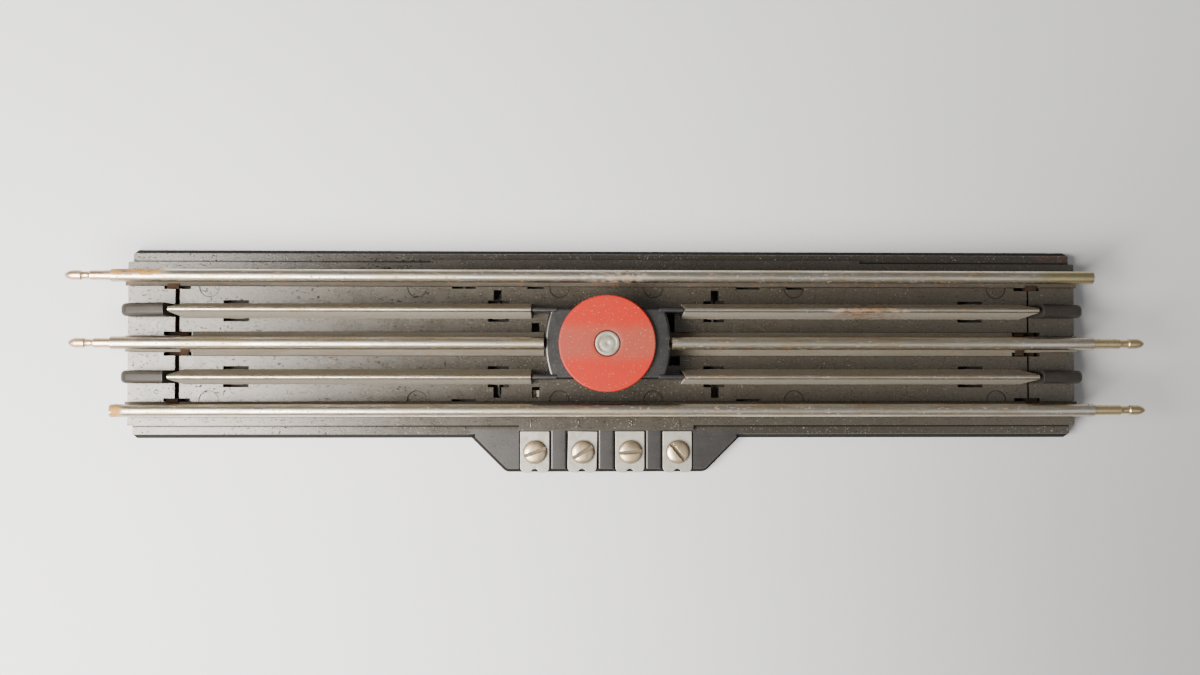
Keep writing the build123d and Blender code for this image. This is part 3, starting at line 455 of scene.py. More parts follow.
class Finish:
    """A material whose nodes are made one by one; x, y and z are the piece's place in millimetres."""

    def __init__(self, name):
        self.material = bpy.data.materials.new(name)
        self.material.use_nodes = True
        self.tree = self.material.node_tree
        self.shader = self.tree.nodes["Principled BSDF"]
        self.place = self.node("ShaderNodeTexCoord", {}, {}, "Object")
        axes = [self.node("ShaderNodeSeparateXYZ", {}, {0: self.place}, i) for i in range(3)]
        self.x, self.y, self.z = (axis * 1000.0 for axis in axes)

    def node(self, kind, choices, sockets, output=0):
        made = self.tree.nodes.new(kind)
        for key, choice in choices.items():
            setattr(made, key, choice)
        for key, value in sockets.items():
            self.feed(made.inputs[key], value)
        return Value(self, made.outputs[output])

    def feed(self, socket, value):
        if isinstance(value, Value):
            self.tree.links.new(value.socket, socket)
        elif isinstance(value, (int, float)):
            socket.default_value = value
        else:
            numbers = tuple(value)
            socket.default_value = numbers + (1.0,) if socket.type == "RGBA" else numbers

    def mix(self, share, first, second):
        """A colour between two colours."""
        return self.node("ShaderNodeMix", {"data_type": "RGBA"}, {0: share, 6: first, 7: second}, 2)

    def noise(self, size, detail=3.0, rough=0.55, stretch=(1, 1, 1)):
        """Noise whose features are about size millimetres, drawn out by stretch along each axis."""
        scale = tuple(1000.0 / (size * s) for s in stretch)
        spread = self.node("ShaderNodeVectorMath", {"operation": "MULTIPLY"}, {0: self.place, 1: scale})
        return self.node("ShaderNodeTexNoise", {}, {"Vector": spread, "Scale": 1.0, "Detail": detail,
                                                    "Roughness": rough})

    def specks(self, size, share):
        """Small round grains about size millimetres apart, of which a share shows."""
        scale = (1000.0 / size,) * 3
        spread = self.node("ShaderNodeVectorMath", {"operation": "MULTIPLY"}, {0: self.place, 1: scale})
        cell = {"Vector": spread, "Scale": 1.0}
        near = self.node("ShaderNodeTexVoronoi", {}, cell, "Distance")
        tint = self.node("ShaderNodeTexVoronoi", {}, cell, "Color")
        pick = self.node("ShaderNodeSeparateColor", {}, {0: tint}, 0)
        return near.between(0.32, 0.16) * pick.between(1 - share, 1 - share + 0.02)

    def spot(self, x, y, reach_x, reach_y):
        """1 in the middle of an oval on plan, falling to 0 at its rim."""
        dx, dy = (self.x - x) / reach_x, (self.y - y) / reach_y
        return (dx * dx + dy * dy).between(1.0, 0.2)

    def bump(self, height, depth, strength=1.0):
        """A bump of height times depth millimetres."""
        return self.node("ShaderNodeBump", {}, {"Strength": strength, "Distance": depth * MM,
                                                "Height": height}, 0)

    def matt(self, share, tint):
        """Covers a share of the surface with a matt colour that has no sheen."""
        flat = self.node("ShaderNodeBsdfDiffuse", {}, {"Color": tint})
        glossy = Value(self, self.shader.outputs["BSDF"])
        covered = self.node("ShaderNodeMixShader", {}, {0: share, 1: glossy, 2: flat})
        self.tree.links.new(covered.socket, self.tree.nodes["Material Output"].inputs["Surface"])

    def wear(self, **sockets):
        """Feeds the shader's sockets; an underscore stands for a space."""
        for key, value in sockets.items():
            self.feed(self.shader.inputs[key.replace("_", " ")], value)
        return self.material


def moulded_plastic():
    """Dusty olive-brown deck, clean blue-black housing, ramps and terminal block, with painted shade low on
    the deck's sides and on the lower side walls.
    """
    look = settings("base")
    f = Finish("moulded_plastic")
    x, y, z = f.x, f.y, f.z
    tower = z.between(5.6, 6.6)
    terminal = y.between(-22.2, -23.4) * abs(x).between(37.5, 36.0)
    ramps = tower * abs(x).between(112.0, 114.0)
    clean = tower.at_least(terminal)
    deck = z.between(5.0, 5.35) * (1 - tower)
    broad = f.noise(22.0, 4.0)
    cloudy = f.noise(4.0, 4.0, 0.6)
    fine = f.noise(0.3, 3.0, 0.6)
    smear = f.noise(1.2, 4.0, 0.65, (5, 1, 1))
    light_flecks = f.noise(0.45, 2.0, 0.5).between(0.64, 0.70)
    dark_pits = f.noise(0.55, 2.0, 0.5, (1.6, 1, 1)).between(0.40, 0.34)
    margins = abs(y).between(19.2, 19.7) * (1 - clean)
    gathered = f.noise(7.0, 3.0).between(0.42, 0.62)
    near_magnet = f.spot(0.0, 0.0, 48.0, 26.0)
    # Painted shade: the lower side walls are darkened, kept free of dust and covered matt
    walls = z.between(3.70, 3.45) * abs(y).between(23.6, 24.0)
    # Painted shade in the crease where the deck's side meets the lower step
    crease_shade = z.between(4.8, 4.0) * abs(y).between(21.3, 21.55) * abs(y).between(22.25, 21.8)
    rings = 0.0
    for mark in MARKS:
        dx, dy = (abs(x) - mark) / MARK_RADIUS, (abs(y) - MARK_Y) / MARK_RADIUS
        out = dx * dx + dy * dy
        rings = out.between(0.84, 0.94) * out.between(1.12, 1.02) * deck + rings
    film = (broad * 0.4 + cloudy * 0.4 + smear * 0.3) * (deck * 0.05 + 0.02)
    specks = light_flecks * (gathered * 0.35 + near_magnet * 0.25 + 0.08) * (1 - clean * 0.85)
    dust = (film * (1 - clean * 0.6) + specks + ramps * 0.08 * cloudy) * (1 - walls) * (1 - crease_shade)
    plain = f.mix(clean.at_least(margins * 0.3), look.deck_colour, look.tower_colour)
    warmed = f.mix(ramps, plain, look.ramp_colour)
    reddish = f.spot(121.0, 23.6, 7.0, 1.6) * cloudy.between(0.35, 0.6) * 0.35
    stained = f.mix(reddish, warmed, (0.16, 0.035, 0.02))
    # Darkening: the pits are dirt, the rims of the round marks are darkened, and the crease and the lower
    # side walls get painted shade
    dark_marks_and_painted_shade = f.mix((dark_pits * 0.7 + rings * 0.75 + crease_shade * 0.8 + walls * 0.55).at_most(0.9), stained,
                  (0.006, 0.005, 0.004))
    tint = f.mix(dust.at_most(0.85), dark_marks_and_painted_shade, look.dust_colour)
    rough = 0.16 + cloudy * 0.12 + smear * 0.08 + dust * 0.5 + ramps * 0.10 + clean * 0.08 + terminal * 0.06
    patches = f.noise(6.0, 3.0, 0.6, (2, 1, 1)).between(0.40, 0.58)
    pitted = dark_pits * (patches * 0.75 + 0.1) * (1 - tower) * (x.between(-20.0, -55.0) * 0.85 + 0.15)
    # Matt dark cover on the pits, the marks' rims and the ramps, with painted shade on the crease and the
    # lower side walls
    f.matt((pitted + rings * 0.8 + crease_shade * 0.85 + walls * 0.9 + ramps * 0.45).at_most(0.95),
           (0.012, 0.010, 0.008))
    height = fine * 0.5 + cloudy * 0.4 - dark_pits * 0.8 - rings * 0.8 + light_flecks * 0.3
    return f.wear(Base_Color=tint, Roughness=rough, Normal=f.bump(height, 0.03, 0.3),
                  Specular_IOR_Level=1.0, Specular_Tint=(1.0, 0.94, 0.86))


def rail_metal():
    """Tinned steel with grain along the rail, tarnish, dull flanks, feet darkened by dirt and painted shade,
    and rust in places.
    """
    look = settings("rails")
    f = Finish("rail_metal")
    y, z = f.y, f.z
    grain = f.noise(0.25, 3.0, 0.6, (26, 1, 1))
    streak = f.noise(0.8, 3.0, 0.6, (16, 1, 1))
    cloudy = f.noise(5.0, 4.0, 0.6, (2.5, 1, 1))
    pits = f.noise(0.45, 2.0, 0.5, (1.5, 1, 1)).between(0.39, 0.32)
    scratch = f.noise(0.3, 3.0, 0.7, (40, 1, 1)).between(0.56, 0.62)
    gilt = f.spot(122.0, RAIL_Y, 12.0, 3.0) * 0.75
    side = z.between(17.0, 15.6)
    foot = z.between(9.0, 6.8)
    control = abs(abs(y) - CONTROL_Y).between(2.4, 2.2)
    flank = control * z.between(16.5, 16.0) * (1 - foot * 0.5)
    far = y.between(16.9, 17.5)
    broken = f.noise(1.0, 4.0, 0.7, (1.8, 1, 1)).between(0.38, 0.50) * z.between(13.2, 14.2)
    ochre = (f.spot(-120.5, 18.0, 9.0, 2.2) * far + f.spot(-126.5, -RAIL_Y, 3.4, 3.0)) * broken
    ends = f.spot(2.0, RAIL_Y, 10.0, 3.0) * 0.5 + f.spot(68.0, CONTROL_Y, 12.0, 3.0)
    tarnish = (cloudy.between(0.36, 0.64) * 0.45 + streak.between(0.42, 0.64) * 0.5 + side * 0.2
               + scratch * 0.35)
    brown = (f.noise(1.6, 4.0, 0.65).between(0.58, 0.72) * (0.05 + side * 0.15 + foot * 0.3)
             + ends * f.noise(0.9, 4.0, 0.6, (2, 1, 1)).between(0.44, 0.60) * 0.8 + pits * 0.75).at_most(1.0)
    middle_foot = f.mix(abs(y).between(4.0, 3.6), look.foot_colour, look.centre_foot_colour)
    clean_steel = f.mix(gilt, look.steel_colour, (0.50, 0.43, 0.15))
    metal = f.mix(tarnish.at_most(0.9), clean_steel, look.tarnish_colour)
    folded = f.mix(flank * 0.85, metal, look.flank_colour)
    # Dirt and painted shade: the webs and feet of the running rails are darkened below the heads
    dulled = f.mix(foot * (1 - control) * 0.92, folded, middle_foot)
    rusty = f.mix(brown, dulled, look.rust_colour)
    tint = f.mix(ochre.at_most(0.95), rusty, look.ochre_colour)
    rust = (brown + ochre).at_most(1.0)
    matt = (rust * 0.9).at_least(foot * 0.85).at_least(flank * 0.65)
    rough = 0.20 + grain * 0.14 + tarnish * 0.16 + (rust * 0.35).at_least(foot * 0.40).at_least(flank * 0.16)
    height = grain * 0.6 + rust * 0.8 + streak * 0.3 - pits * 0.8
    return f.wear(Base_Color=tint, Metallic=1.0 - matt, Roughness=rough, Normal=f.bump(height, 0.03, 0.5))


def turned_metal(name, tint, tarnish, rough=0.28):
    """Turned or plated metal with fine lines, spots and a little tarnish."""
    f = Finish(name)
    cloudy = f.noise(1.6, 4.0, 0.6)
    fine = f.noise(0.12, 2.0, 0.6)
    spots = f.specks(0.7, 0.2)
    dull = (cloudy.between(0.42, 0.7) * 0.55 + spots * 0.5).at_most(0.9)
    return f.wear(Base_Color=f.mix(dull, tint, tarnish), Metallic=1.0 - dull * 0.3,
                  Roughness=rough + fine * 0.08 + dull * 0.25, Normal=f.bump(fine + spots, 0.012, 0.5))


def red_enamel():
    """Orange-red enamel with a worn grey-brown band along the rails, chips and scratches, and painted shade
    on the rim and round the core.
    """
    look = settings("magnet")
    f = Finish("red_enamel")
    at = middle("magnet_cap")
    cloudy = f.noise(2.6, 4.0, 0.6)
    fine = f.noise(0.3, 3.0, 0.6)
    scratch = f.noise(0.22, 3.0, 0.65, (16, 1, 1))
    band = abs(f.y - 0.2 + (cloudy - 0.5) * 2.6).between(6.2, 2.2) * (0.35 + scratch * 0.45)
    chips = f.noise(0.8, 3.0, 0.6).between(0.66, 0.72) * 0.5
    # Painted shade: the enamel is painted deeper red low on the rim and down the cap's side
    edge = f.z.between(16.95, 16.6) * 0.35
    worn = (band * 0.9 + chips * (0.2 + band)).at_most(1.0)
    deep = f.mix(cloudy.between(0.35, 0.7) * 0.3 + edge, look.red_colour, (0.30, 0.018, 0.012))
    rubbed = f.mix(worn, deep, look.worn_colour)
    dx, dy = (f.x - at.x) / CORE_RADIUS, (f.y - at.y) / CORE_RADIUS
    # Painted shade in the gap round the core: a near-black ring where the cap dips into the bore
    core_gap_shade = (dx * dx + dy * dy).between(1.28, 1.14)
    pits = f.noise(0.4, 2.0, 0.5).between(0.33, 0.27)
    flecks = f.noise(0.45, 2.0, 0.5).between(0.65, 0.71) * 0.3
    speckled = f.mix(flecks, rubbed, (0.62, 0.38, 0.26))
    tint = f.mix((core_gap_shade * 0.85 + pits * 0.6).at_most(0.9), speckled, (0.05, 0.012, 0.008))
    return f.wear(Base_Color=tint, Roughness=0.40 + worn * 0.2 + cloudy * 0.1,
                  Metallic=worn * 0.1, Specular_IOR_Level=0.3,
                  Normal=f.bump(scratch * 0.5 + fine * 0.3 - worn * 0.6 - pits, 0.02, 0.5))


def screw_metal():
    """Warm plated steel, darkened low on the head: dirt and painted shade in the slots and round the heads.
    """
    look = settings("terminals")
    f = Finish("screw_metal")
    crown = node_box("terminal_screw_1")[1].z
    cloudy = f.noise(1.6, 4.0, 0.6)
    fine = f.noise(0.15, 2.0, 0.6)
    pits = f.noise(0.3, 2.0, 0.5).between(0.34, 0.27)
    # Dirt and painted shade: the slot floors and the head below its crown are darkened
    dirt_and_shade = f.z.between(crown - 0.42, crown - 0.62)
    dull = (cloudy.between(0.40, 0.66) * 0.6 + pits * 0.6).at_most(0.9)
    tint = f.mix(dirt_and_shade * 0.88, f.mix(dull, look.screw_colour, (0.40, 0.25, 0.11)), (0.085, 0.060, 0.038))
    return f.wear(Base_Color=tint, Metallic=1.0 - dirt_and_shade * 0.8 - dull * 0.2,
                  Roughness=0.26 + fine * 0.1 + dull * 0.22, Normal=f.bump(fine - pits, 0.012, 0.5))


def tin_plate():
    """Dull speckled tin of the clamp plates."""
    look = settings("terminals")
    f = Finish("tin_plate")
    cloudy = f.noise(2.2, 4.0, 0.6)
    pits = f.specks(0.55, 0.35) * 0.6 + f.specks(1.1, 0.2) * 0.6
    fine = f.noise(0.18, 3.0, 0.6)
    dull = (cloudy.between(0.4, 0.7) * 0.4 + pits * 0.7).at_most(0.9)
    tint = f.mix(dull, look.plate_colour, (0.17, 0.14, 0.10))
    return f.wear(Base_Color=tint, Metallic=0.65 - dull * 0.3, Roughness=0.42 + dull * 0.2 + fine * 0.1,
                  Normal=f.bump(fine * 0.6 - pits, 0.02, 0.6))


def plain_finish(name, tint, second, metallic, rough, size=1.5):
    """A mottled two-tone finish for what is mostly hidden."""
    f = Finish(name)
    cloudy = f.noise(size, 4.0, 0.6)
    fine = f.noise(size / 8, 3.0, 0.6)
    return f.wear(Base_Color=f.mix(cloudy.between(0.35, 0.7), tint, second), Metallic=metallic,
                  Roughness=rough + fine * 0.12, Normal=f.bump(fine, 0.02, 0.4))


def pressed_fibre():
    """Dark pressed fibre sheet of the underside."""
    f = Finish("pressed_fibre")
    flecks = f.noise(0.7, 4.0, 0.7, (3, 1, 1)).between(0.45, 0.7)
    cloudy = f.noise(14.0, 4.0)
    tint = f.mix(flecks * 0.35 + cloudy * 0.25, (0.030, 0.026, 0.022), (0.11, 0.09, 0.07))
    return f.wear(Base_Color=tint, Roughness=0.62 + flecks * 0.15, Normal=f.bump(flecks, 0.03, 0.5))


def wound_wire():
    """Layer-wound enamelled copper: ridges round the coil's upright axis, with painted shade in the grooves
    between the turns.
    """
    f = Finish("wound_wire")
    turns = f.node("ShaderNodeMath", {"operation": "SINE"}, {0: f.z * 31.4})
    cloudy = f.noise(1.0, 3.0)
    # Painted shade: the copper is painted dark in the grooves between the turns
    tint = f.mix(turns.between(-0.9, 0.2), (0.10, 0.03, 0.012), (0.50, 0.17, 0.06))
    return f.wear(Base_Color=tint, Metallic=0.8, Roughness=0.3 + cloudy * 0.15, Normal=f.bump(turns, 0.05))


FINISHES = {}


def finish_named(name, maker, *details):
    """Each finish is made once and shared."""
    if name not in FINISHES:
        FINISHES[name] = maker(*details)
    return FINISHES[name]


# ------------------------------------------------------------------ moulded base
END_BLOCK = 12.3              # from the base's end to the cross slot
STEP_SHORT = 0.9              # the lower step stops short of the deck's ends
WALL = 1.6
ROOT_LEVEL = 3.6              # the housing, ramps and arms start inside the deck
BLOCK_MARGIN = 7.75           # past the outer terminals, at the block's edge
BLOCK_FLARE = 9.2             # how much wider each end of the block is at its root
BLOCK_CORNER = 2.5
RIB_RADIUS = 0.55             # tops of the ribs between the terminals
POCKET_HALF_WIDTH = 4.2
STRIP_HALF_WIDTH = 3.2
SCREW_HOLE = 1.76             # radius of the holes that the terminal screws pass
MARKS = (12.5, 50.15, 104.8)  # round moulding marks, out from the middle
MARK_Y = 15.0
MARK_RADIUS = 2.6
BAND_X = (-46.8, 67.9)        # the deck's far edge stands out along the band
BAND_STEP = 0.8
LABEL_X = 23.2                # half length of the number strip
LABEL_STEP = 1.4
RAIL_SEAT = 4.2               # floor of the rail channels
OUTER_CHANNEL = 2.12          # half widths of the rail channels
CENTRE_CHANNEL = 3.26
CENTRE_CHANNEL_END = 2.27
RAIL_Y = 17.3                 # centre line of the outer rails
CONTROL_Y = 8.7               # centre line of the control rails
HOUSING_CORNER = 14.7
HOUSING_BULGE = 16.4
HOUSING_HALF_WIDTH = 9.3
HOUSING_WALL = 1.5
CAP_SEAT = 7.0
CORE_RADIUS = 3.175
CORE_HOLE = 3.275
RAMP_FRONT = 12.5             # heights of a ramp's two ends
RAMP_REAR = 16.7
RAMP_RADIUS = 3.0
RAMP_HALF_WIDTH = 1.7
ARM_START = 13.3
ARM_GAP = 0.35                # between an arm and the end of its control rail
ARM_HALF_WIDTH = 0.65
ARM_TOP = 16.0
BOSS_INNER_X = 55.0
BOSS_FROM_BLOCK = 8.75
BOSS_Y = 12.3
BOSS_RADIUS = 3.0
COVER_SCREW_RADIUS = 1.1
TIE_SLOTS = ((-21.1, -16.7), (48.1, 52.7))
WINDOWS = ((-19.9, -17.8, 2.8, 5.6), (15.2, 18.2, 3.3, 8.0), (15.8, 19.6, -5.7, -3.3),
           (-19.8, -17.7, -14.3, -11.4))


def base_edges():
    """Half length, lower half width, block edge, and the outer rails' centre line."""
    low, high = node_box("base")
    return high.x, high.y, low.y, middle("outer_rail_far").y


def lower_step(half, lower, look):
    top = lower - look.slope / MM
    height = look.lower_top / MM
    end = half - STEP_SHORT
    step = prism("step", [(-lower, 0), (lower, 0), (top, height), (-top, height)], "X", -end, end)
    def at_corner(m, d):
        return abs(m.x) > end - 0.01 and abs(m.y) > top - 0.01 and 0.1 < m.z < height - 0.1
    bevel_where(step, at_corner, 0.25, 4)
    return step


def terminal_block(lower, edge_y, look):
    edge_half = middle("terminal_screw_4").x + BLOCK_MARGIN
    root_half = edge_half + BLOCK_FLARE
    inner = -look.deck_half / MM
    corners = [(-root_half, inner), (-root_half, -lower), (-edge_half, edge_y), (edge_half, edge_y),
               (root_half, -lower), (root_half, inner)]
    outline = rounded(corners, (0, 0, BLOCK_CORNER, BLOCK_CORNER, 0, 0))
    lip = 0.25
    shelf = prism("shelf", outline, "Z", 0, lip)
    editing(shelf, "NONE")
    bpy.ops.mesh.select_mode(type="FACE")
    done()
    for face in shelf.data.polygons:
        face.select = face.normal.z > 0.9
    bpy.ops.object.mode_set(mode="EDIT")
    rise = look.lower_top - lip * MM
    bpy.ops.mesh.inset(thickness=look.slope * rise / look.lower_top, depth=rise)
    done()
    return shelf


def housing_outline(grow):
    """Plan of the magnet housing: straight sides and bulging ends."""
    corner, bulge, y = HOUSING_CORNER + grow, HOUSING_BULGE + grow, HOUSING_HALF_WIDTH + grow
    rise = bulge - corner
    radius = (y * y + rise * rise) / (2 * rise)
    spread = math.degrees(math.asin(y / radius))
    right = arc((bulge - radius, 0), radius, -spread, spread, 12)
    left = arc((radius - bulge, 0), radius, 180 - spread, 180 + spread, 12)
    return right + left


def housing(top):
    tower = prism("housing", housing_outline(0), "Z", ROOT_LEVEL, top)
    bevel_where(tower, lambda m, d: m.z > top - 0.01, 0.8, 4)
    return tower


def ramp(half):
    """One shoe ramp, at the far right; the others are copies."""
    rear = half - END_BLOCK
    corners = [(half, ROOT_LEVEL), (half, RAMP_FRONT), (rear, RAMP_REAR), (rear, ROOT_LEVEL)]
    nose = prism("ramp", rounded(corners, (0, RAMP_RADIUS, 0, 0), 8), "Y",
                 CONTROL_Y - RAMP_HALF_WIDTH, CONTROL_Y + RAMP_HALF_WIDTH)
    bevel_where(nose, lambda m, d: m.z > 5 and m.x > rear + 0.05 and abs(d.y) < 0.5, 1.2, 5)
    bevel_where(nose, lambda m, d: m.z > 15 and abs(m.x - rear) < 0.05 and abs(d.z) < 0.9, 0.25, 2)
    return nose


def bar(half):
    """One thin arm beside the housing, at the far right."""
    inner = node_box("control_rail_far_right")[0].x - ARM_GAP
    wall = block("arm", (ARM_START, inner), (CONTROL_Y - ARM_HALF_WIDTH, CONTROL_Y + ARM_HALF_WIDTH),
                 (ROOT_LEVEL, ARM_TOP))
    bevel_where(wall, lambda m, d: m.z > ARM_TOP - 0.1 and abs(d.x) > 0.9, 0.45, 3)
    bevel_where(wall, lambda m, d: abs(m.x - inner) < 0.05 and abs(d.z) > 0.9, 0.5, 4)
    return wall


def base_solids(half, lower, edge_y, look):
    """What the moulding is made of before anything is cut."""
    deck_top, deck_half, low = look.deck_top / MM, look.deck_half / MM, 2.9
    deck = block("deck", (-half, half), (-deck_half, deck_half), (low, deck_top))
    bevel_where(deck, lambda m, d: abs(m.x) > half - 0.01 and abs(d.z) > 0.9, 0.3, 3)
    yield terminal_block(lower, edge_y, look)
    yield deck
    yield block("label", (-LABEL_X, LABEL_X), (-deck_half - LABEL_STEP, 0), (low, deck_top))
    yield block("band", BAND_X, (0, deck_half + BAND_STEP), (low, deck_top))
    yield housing(node_box("magnet_cap")[0].z - 0.5)
    yield post("cap_seat", middle("magnet_cap").x, 0, (15.0, node_box("magnet_cap")[0].z), CAP_SEAT, 64)
    nose, wall = ramp(half), bar(half)
    for start in (nose, wall):
        for end in ENDS.values():
            for side in SIDES.values():
                if (end, side) != (1, 1):
                    yield copy_of(start, start.name + "_copy", flip_x=end < 0, flip_y=side < 0)
        yield start


def both(low, high, end):
    """A range on the right, or its mirror image on the left."""
    return (end * low, end * high)


def deck_slots(half, rail, top):
    """Cutters for the channels, slots, windows and marks of the deck."""
    rear, deep, up = half - END_BLOCK, 1.3, top + 1
    inner = rail - 2.0
    long = (-half - 1, half + 1)

    def channel(xs, y, half_width):
        return block("cut", xs, (y - half_width, y + half_width), (RAIL_SEAT, up))

    def slot(xs, y0, y1):
        return block("cut", xs, (y0, y1), (deep, up))

    for y in (-rail, rail):
        yield channel(long, y, OUTER_CHANNEL)
    yield channel(long, 0, CENTRE_CHANNEL_END)
    yield channel((-rear, rear), 0, CENTRE_CHANNEL)
    cross = {-1: 1.2, 1: 0.5}
    for end in ENDS.values():
        clip = both(rear - 4.05, rear + 2.95, end)
        for side in SIDES.values():
            line = side * CONTROL_Y
            yield slot(both(rear - cross[end], rear, end), side * 2.0, side * (inner - 0.1))
            yield slot(clip, side * (inner - 0.9), side * (inner + 0.1))
            yield slot(clip, side * 2.0, side * 3.2)
            yield slot(both(34.65, 41.05, end), side * (inner - 0.65), side * (inner + 0.65))
            yield slot(both(27.9, 30.0, end), side * 10.7, side * 14.3)
            for first, last in ((25.9, 31.5), (rear - 19.35, rear - 12.6)):
                for way in (-1, 1):
                    yield slot(both(first, last, end), line + way * 1.3, line + way * 2.8)
            for x in MARKS:
                yield post("cut", end * x, side * MARK_Y, (top - 0.2, up), MARK_RADIUS, 40)
    for xs in TIE_SLOTS:
        yield slot(xs, inner - 0.65, inner)
    for x0, x1, y0, y1 in WINDOWS:
        yield slot((x0, x1), y0, y1)


def terminal_pockets(look, edge_y):
    """Cutters for the plates' pockets, the screw holes and the strips' recesses."""
    for number in NUMBERS:
        at = middle(f"terminal_screw_{number}")
        inner = node_box("clamp_plate_1")[1].y + 0.25
        pocket = (at.x - POCKET_HALF_WIDTH, at.x + POCKET_HALF_WIDTH)
        strip = (at.x - STRIP_HALF_WIDTH, at.x + STRIP_HALF_WIDTH)
        yield block("cut", pocket, (edge_y - 1, inner), (3.0, 6.5))
        yield block("cut", strip, (at.y - STRIP_HALF_WIDTH, -21.0), (-1, 1.9))
        yield post("cut", at.x, at.y, (-1, 6.5), SCREW_HOLE, 40)


def hollow(half, lower, look):
    """Cutters for the inside of the moulding."""
    x = half - WALL
    yield block("cut", (-x, x), (-(lower - 2.77), lower - 2.77), (-1, 2.2))
    yield block("cut", (-x, x), (-20.0, 20.0), (-1, 3.0))
    yield prism("cut", housing_outline(-HOUSING_WALL), "Z", -1, 14.1)
    yield post("cut", middle("magnet_core").x, 0, (-1, 20), CORE_HOLE, 64)


class TRACK_OT_base(bpy.types.Operator):
    """Models the moulded base with its deck, housing, ramps and terminal block"""
    bl_idname = "track.base"
    bl_label = "Moulded Base"

    def execute(self, context):
        look = settings("base")
        half, lower, edge_y, rail = base_edges()
        body = lower_step(half, lower, look)
        for solid in base_solids(half, lower, edge_y, look):
            combine(body, solid, "UNION")
        for cutter in (*deck_slots(half, rail, look.deck_top / MM), *terminal_pockets(look, edge_y),
                       *hollow(half, lower, look)):
            combine(body, cutter, "DIFFERENCE")
        for end in ENDS.values():
            for side in SIDES.values():
                for x in (BOSS_INNER_X, half - END_BLOCK - BOSS_FROM_BLOCK):
                    at = (end * x, side * BOSS_Y)
                    combine(body, post("boss", *at, (1.1, 3.4), BOSS_RADIUS, 40), "UNION")
                    combine(body, post("cut", *at, (-1, 4.2), COVER_SCREW_RADIUS, 24), "DIFFERENCE")
        tidy_mesh(body, dissolve=True)
        step = look.lower_top / MM
        reach = middle("terminal_screw_4").x + 3.0
        bevel_where(body, lambda m, d: m.y < -lower + 1 and abs(m.z - step) < 0.02 and abs(d.y) > 0.95
                    and abs(m.x) < reach, RIB_RADIUS, 4)
        soften(body, look.edge / MM)
        tidy_mesh(body)
        plastic = finish_named("moulded_plastic", moulded_plastic)
        finish(body, "moulded_base", plastic, replaces=["base"])
        return {"FINISHED"}


# ------------------------------------------------------------------ rails
OUTER_FLANGE = 2.0            # half widths of the rails' feet
CENTRE_FLANGE = 3.2
CONTROL_FLANGE = 2.0
FOOT_TRIM_X = (109.4, 128.0)  # the centre rail's foot is narrower past its clip
OUTER_TAB_X = (36.0, 39.7)
CENTRE_TABS = (22.0, 98.0)
CONTROL_SEAT = 5.4            # the control rails stand on the deck
CONTROL_RAKE = 1.45           # lower edge cut back from the crest
CREST_HALF_WIDTH = 0.62
CREST_HEIGHT = 0.72


def head_and_web(top, head, sheet, foot):
    """Path of the sheet: foot, web, once round the head, web, foot."""
    r = head - sheet / 2
    centre = top - head
    web = sheet / 2 + 0.06
    bend = 0.42
    level = RAIL_SEAT + sheet / 2
    dip = math.degrees(math.asin((web + bend) / (r + bend)))
    neck_z = centre - (r + bend) * math.cos(math.radians(dip))
    left_foot = [(-foot, level)] + arc((-web - bend, level + bend), bend, -90, 0, 4)
    left_neck = arc((-web - bend, neck_z), bend, 0, 90 - dip, 4)
    ring = arc((0, centre), r, 270 - dip, -90 + dip, 28)
    right_neck = arc((web + bend, neck_z), bend, 90 + dip, 180, 4)
    right_foot = arc((web + bend, level + bend), bend, 180, 270, 4) + [(foot, level)]
    return left_foot + left_neck + ring[1:-1] + right_neck + right_foot


def running_rail(name, node, foot, trims=(), tabs=()):
    """A rolled and folded rail; trims cut its foot and tabs go down from it."""
    look = settings("rails")
    low, high = node_box(node)
    y = (low.y + high.y) / 2 if "centre" in node else math.copysign(RAIL_Y, low.y)
    path = head_and_web(high.z, look.head / MM, look.sheet / MM, foot)
    rail = folded_sheet(name, [(y + a, b) for a, b in path], (low.x, high.x), look.sheet / MM)
    apply_all(rail)
    tidy_mesh(rail)
    for xs, ys in trims:
        combine(rail, block("trim", xs, ys, (3.5, 6.0)), "DIFFERENCE")
    soften(rail, 0.05, 1, 60)
    pieces = [rail] + [block("tab", xs, ys, (1.3, 4.5)) for xs, ys in tabs]
    return joined(name, pieces)


class TRACK_OT_running_rails(bpy.types.Operator):
    """Rolls the two outer rails and the two halves of the centre rail from sheet"""
    bl_idname = "track.running_rails"
    bl_label = "Running Rails"

    def execute(self, context):
        metal = finish_named("rail_metal", rail_metal)
        for side_name, side in SIDES.items():
            node = f"outer_rail_{side_name}"
            edge = side * (RAIL_Y - OUTER_FLANGE)
            tabs = [(both(*OUTER_TAB_X, end), (edge, edge + side * 0.5)) for end in ENDS.values()]
            rail = running_rail(node + "_rolled", node, OUTER_FLANGE, (), tabs)
            finish(rail, node + "_rolled", metal, replaces=[node])
        for end_name, end in ENDS.items():
            node = f"centre_rail_{end_name}"
            trims = [(both(*FOOT_TRIM_X, end), ys) for ys in ((2.15, 4.0), (-4.0, -2.15))]
            tabs = [(both(first, first + 3.0, end), (-0.55, 0.55)) for first in CENTRE_TABS]
            rail = running_rail(node + "_rolled", node, CENTRE_FLANGE, trims, tabs)
            finish(rail, node + "_rolled", metal, replaces=[node])
        return {"FINISHED"}


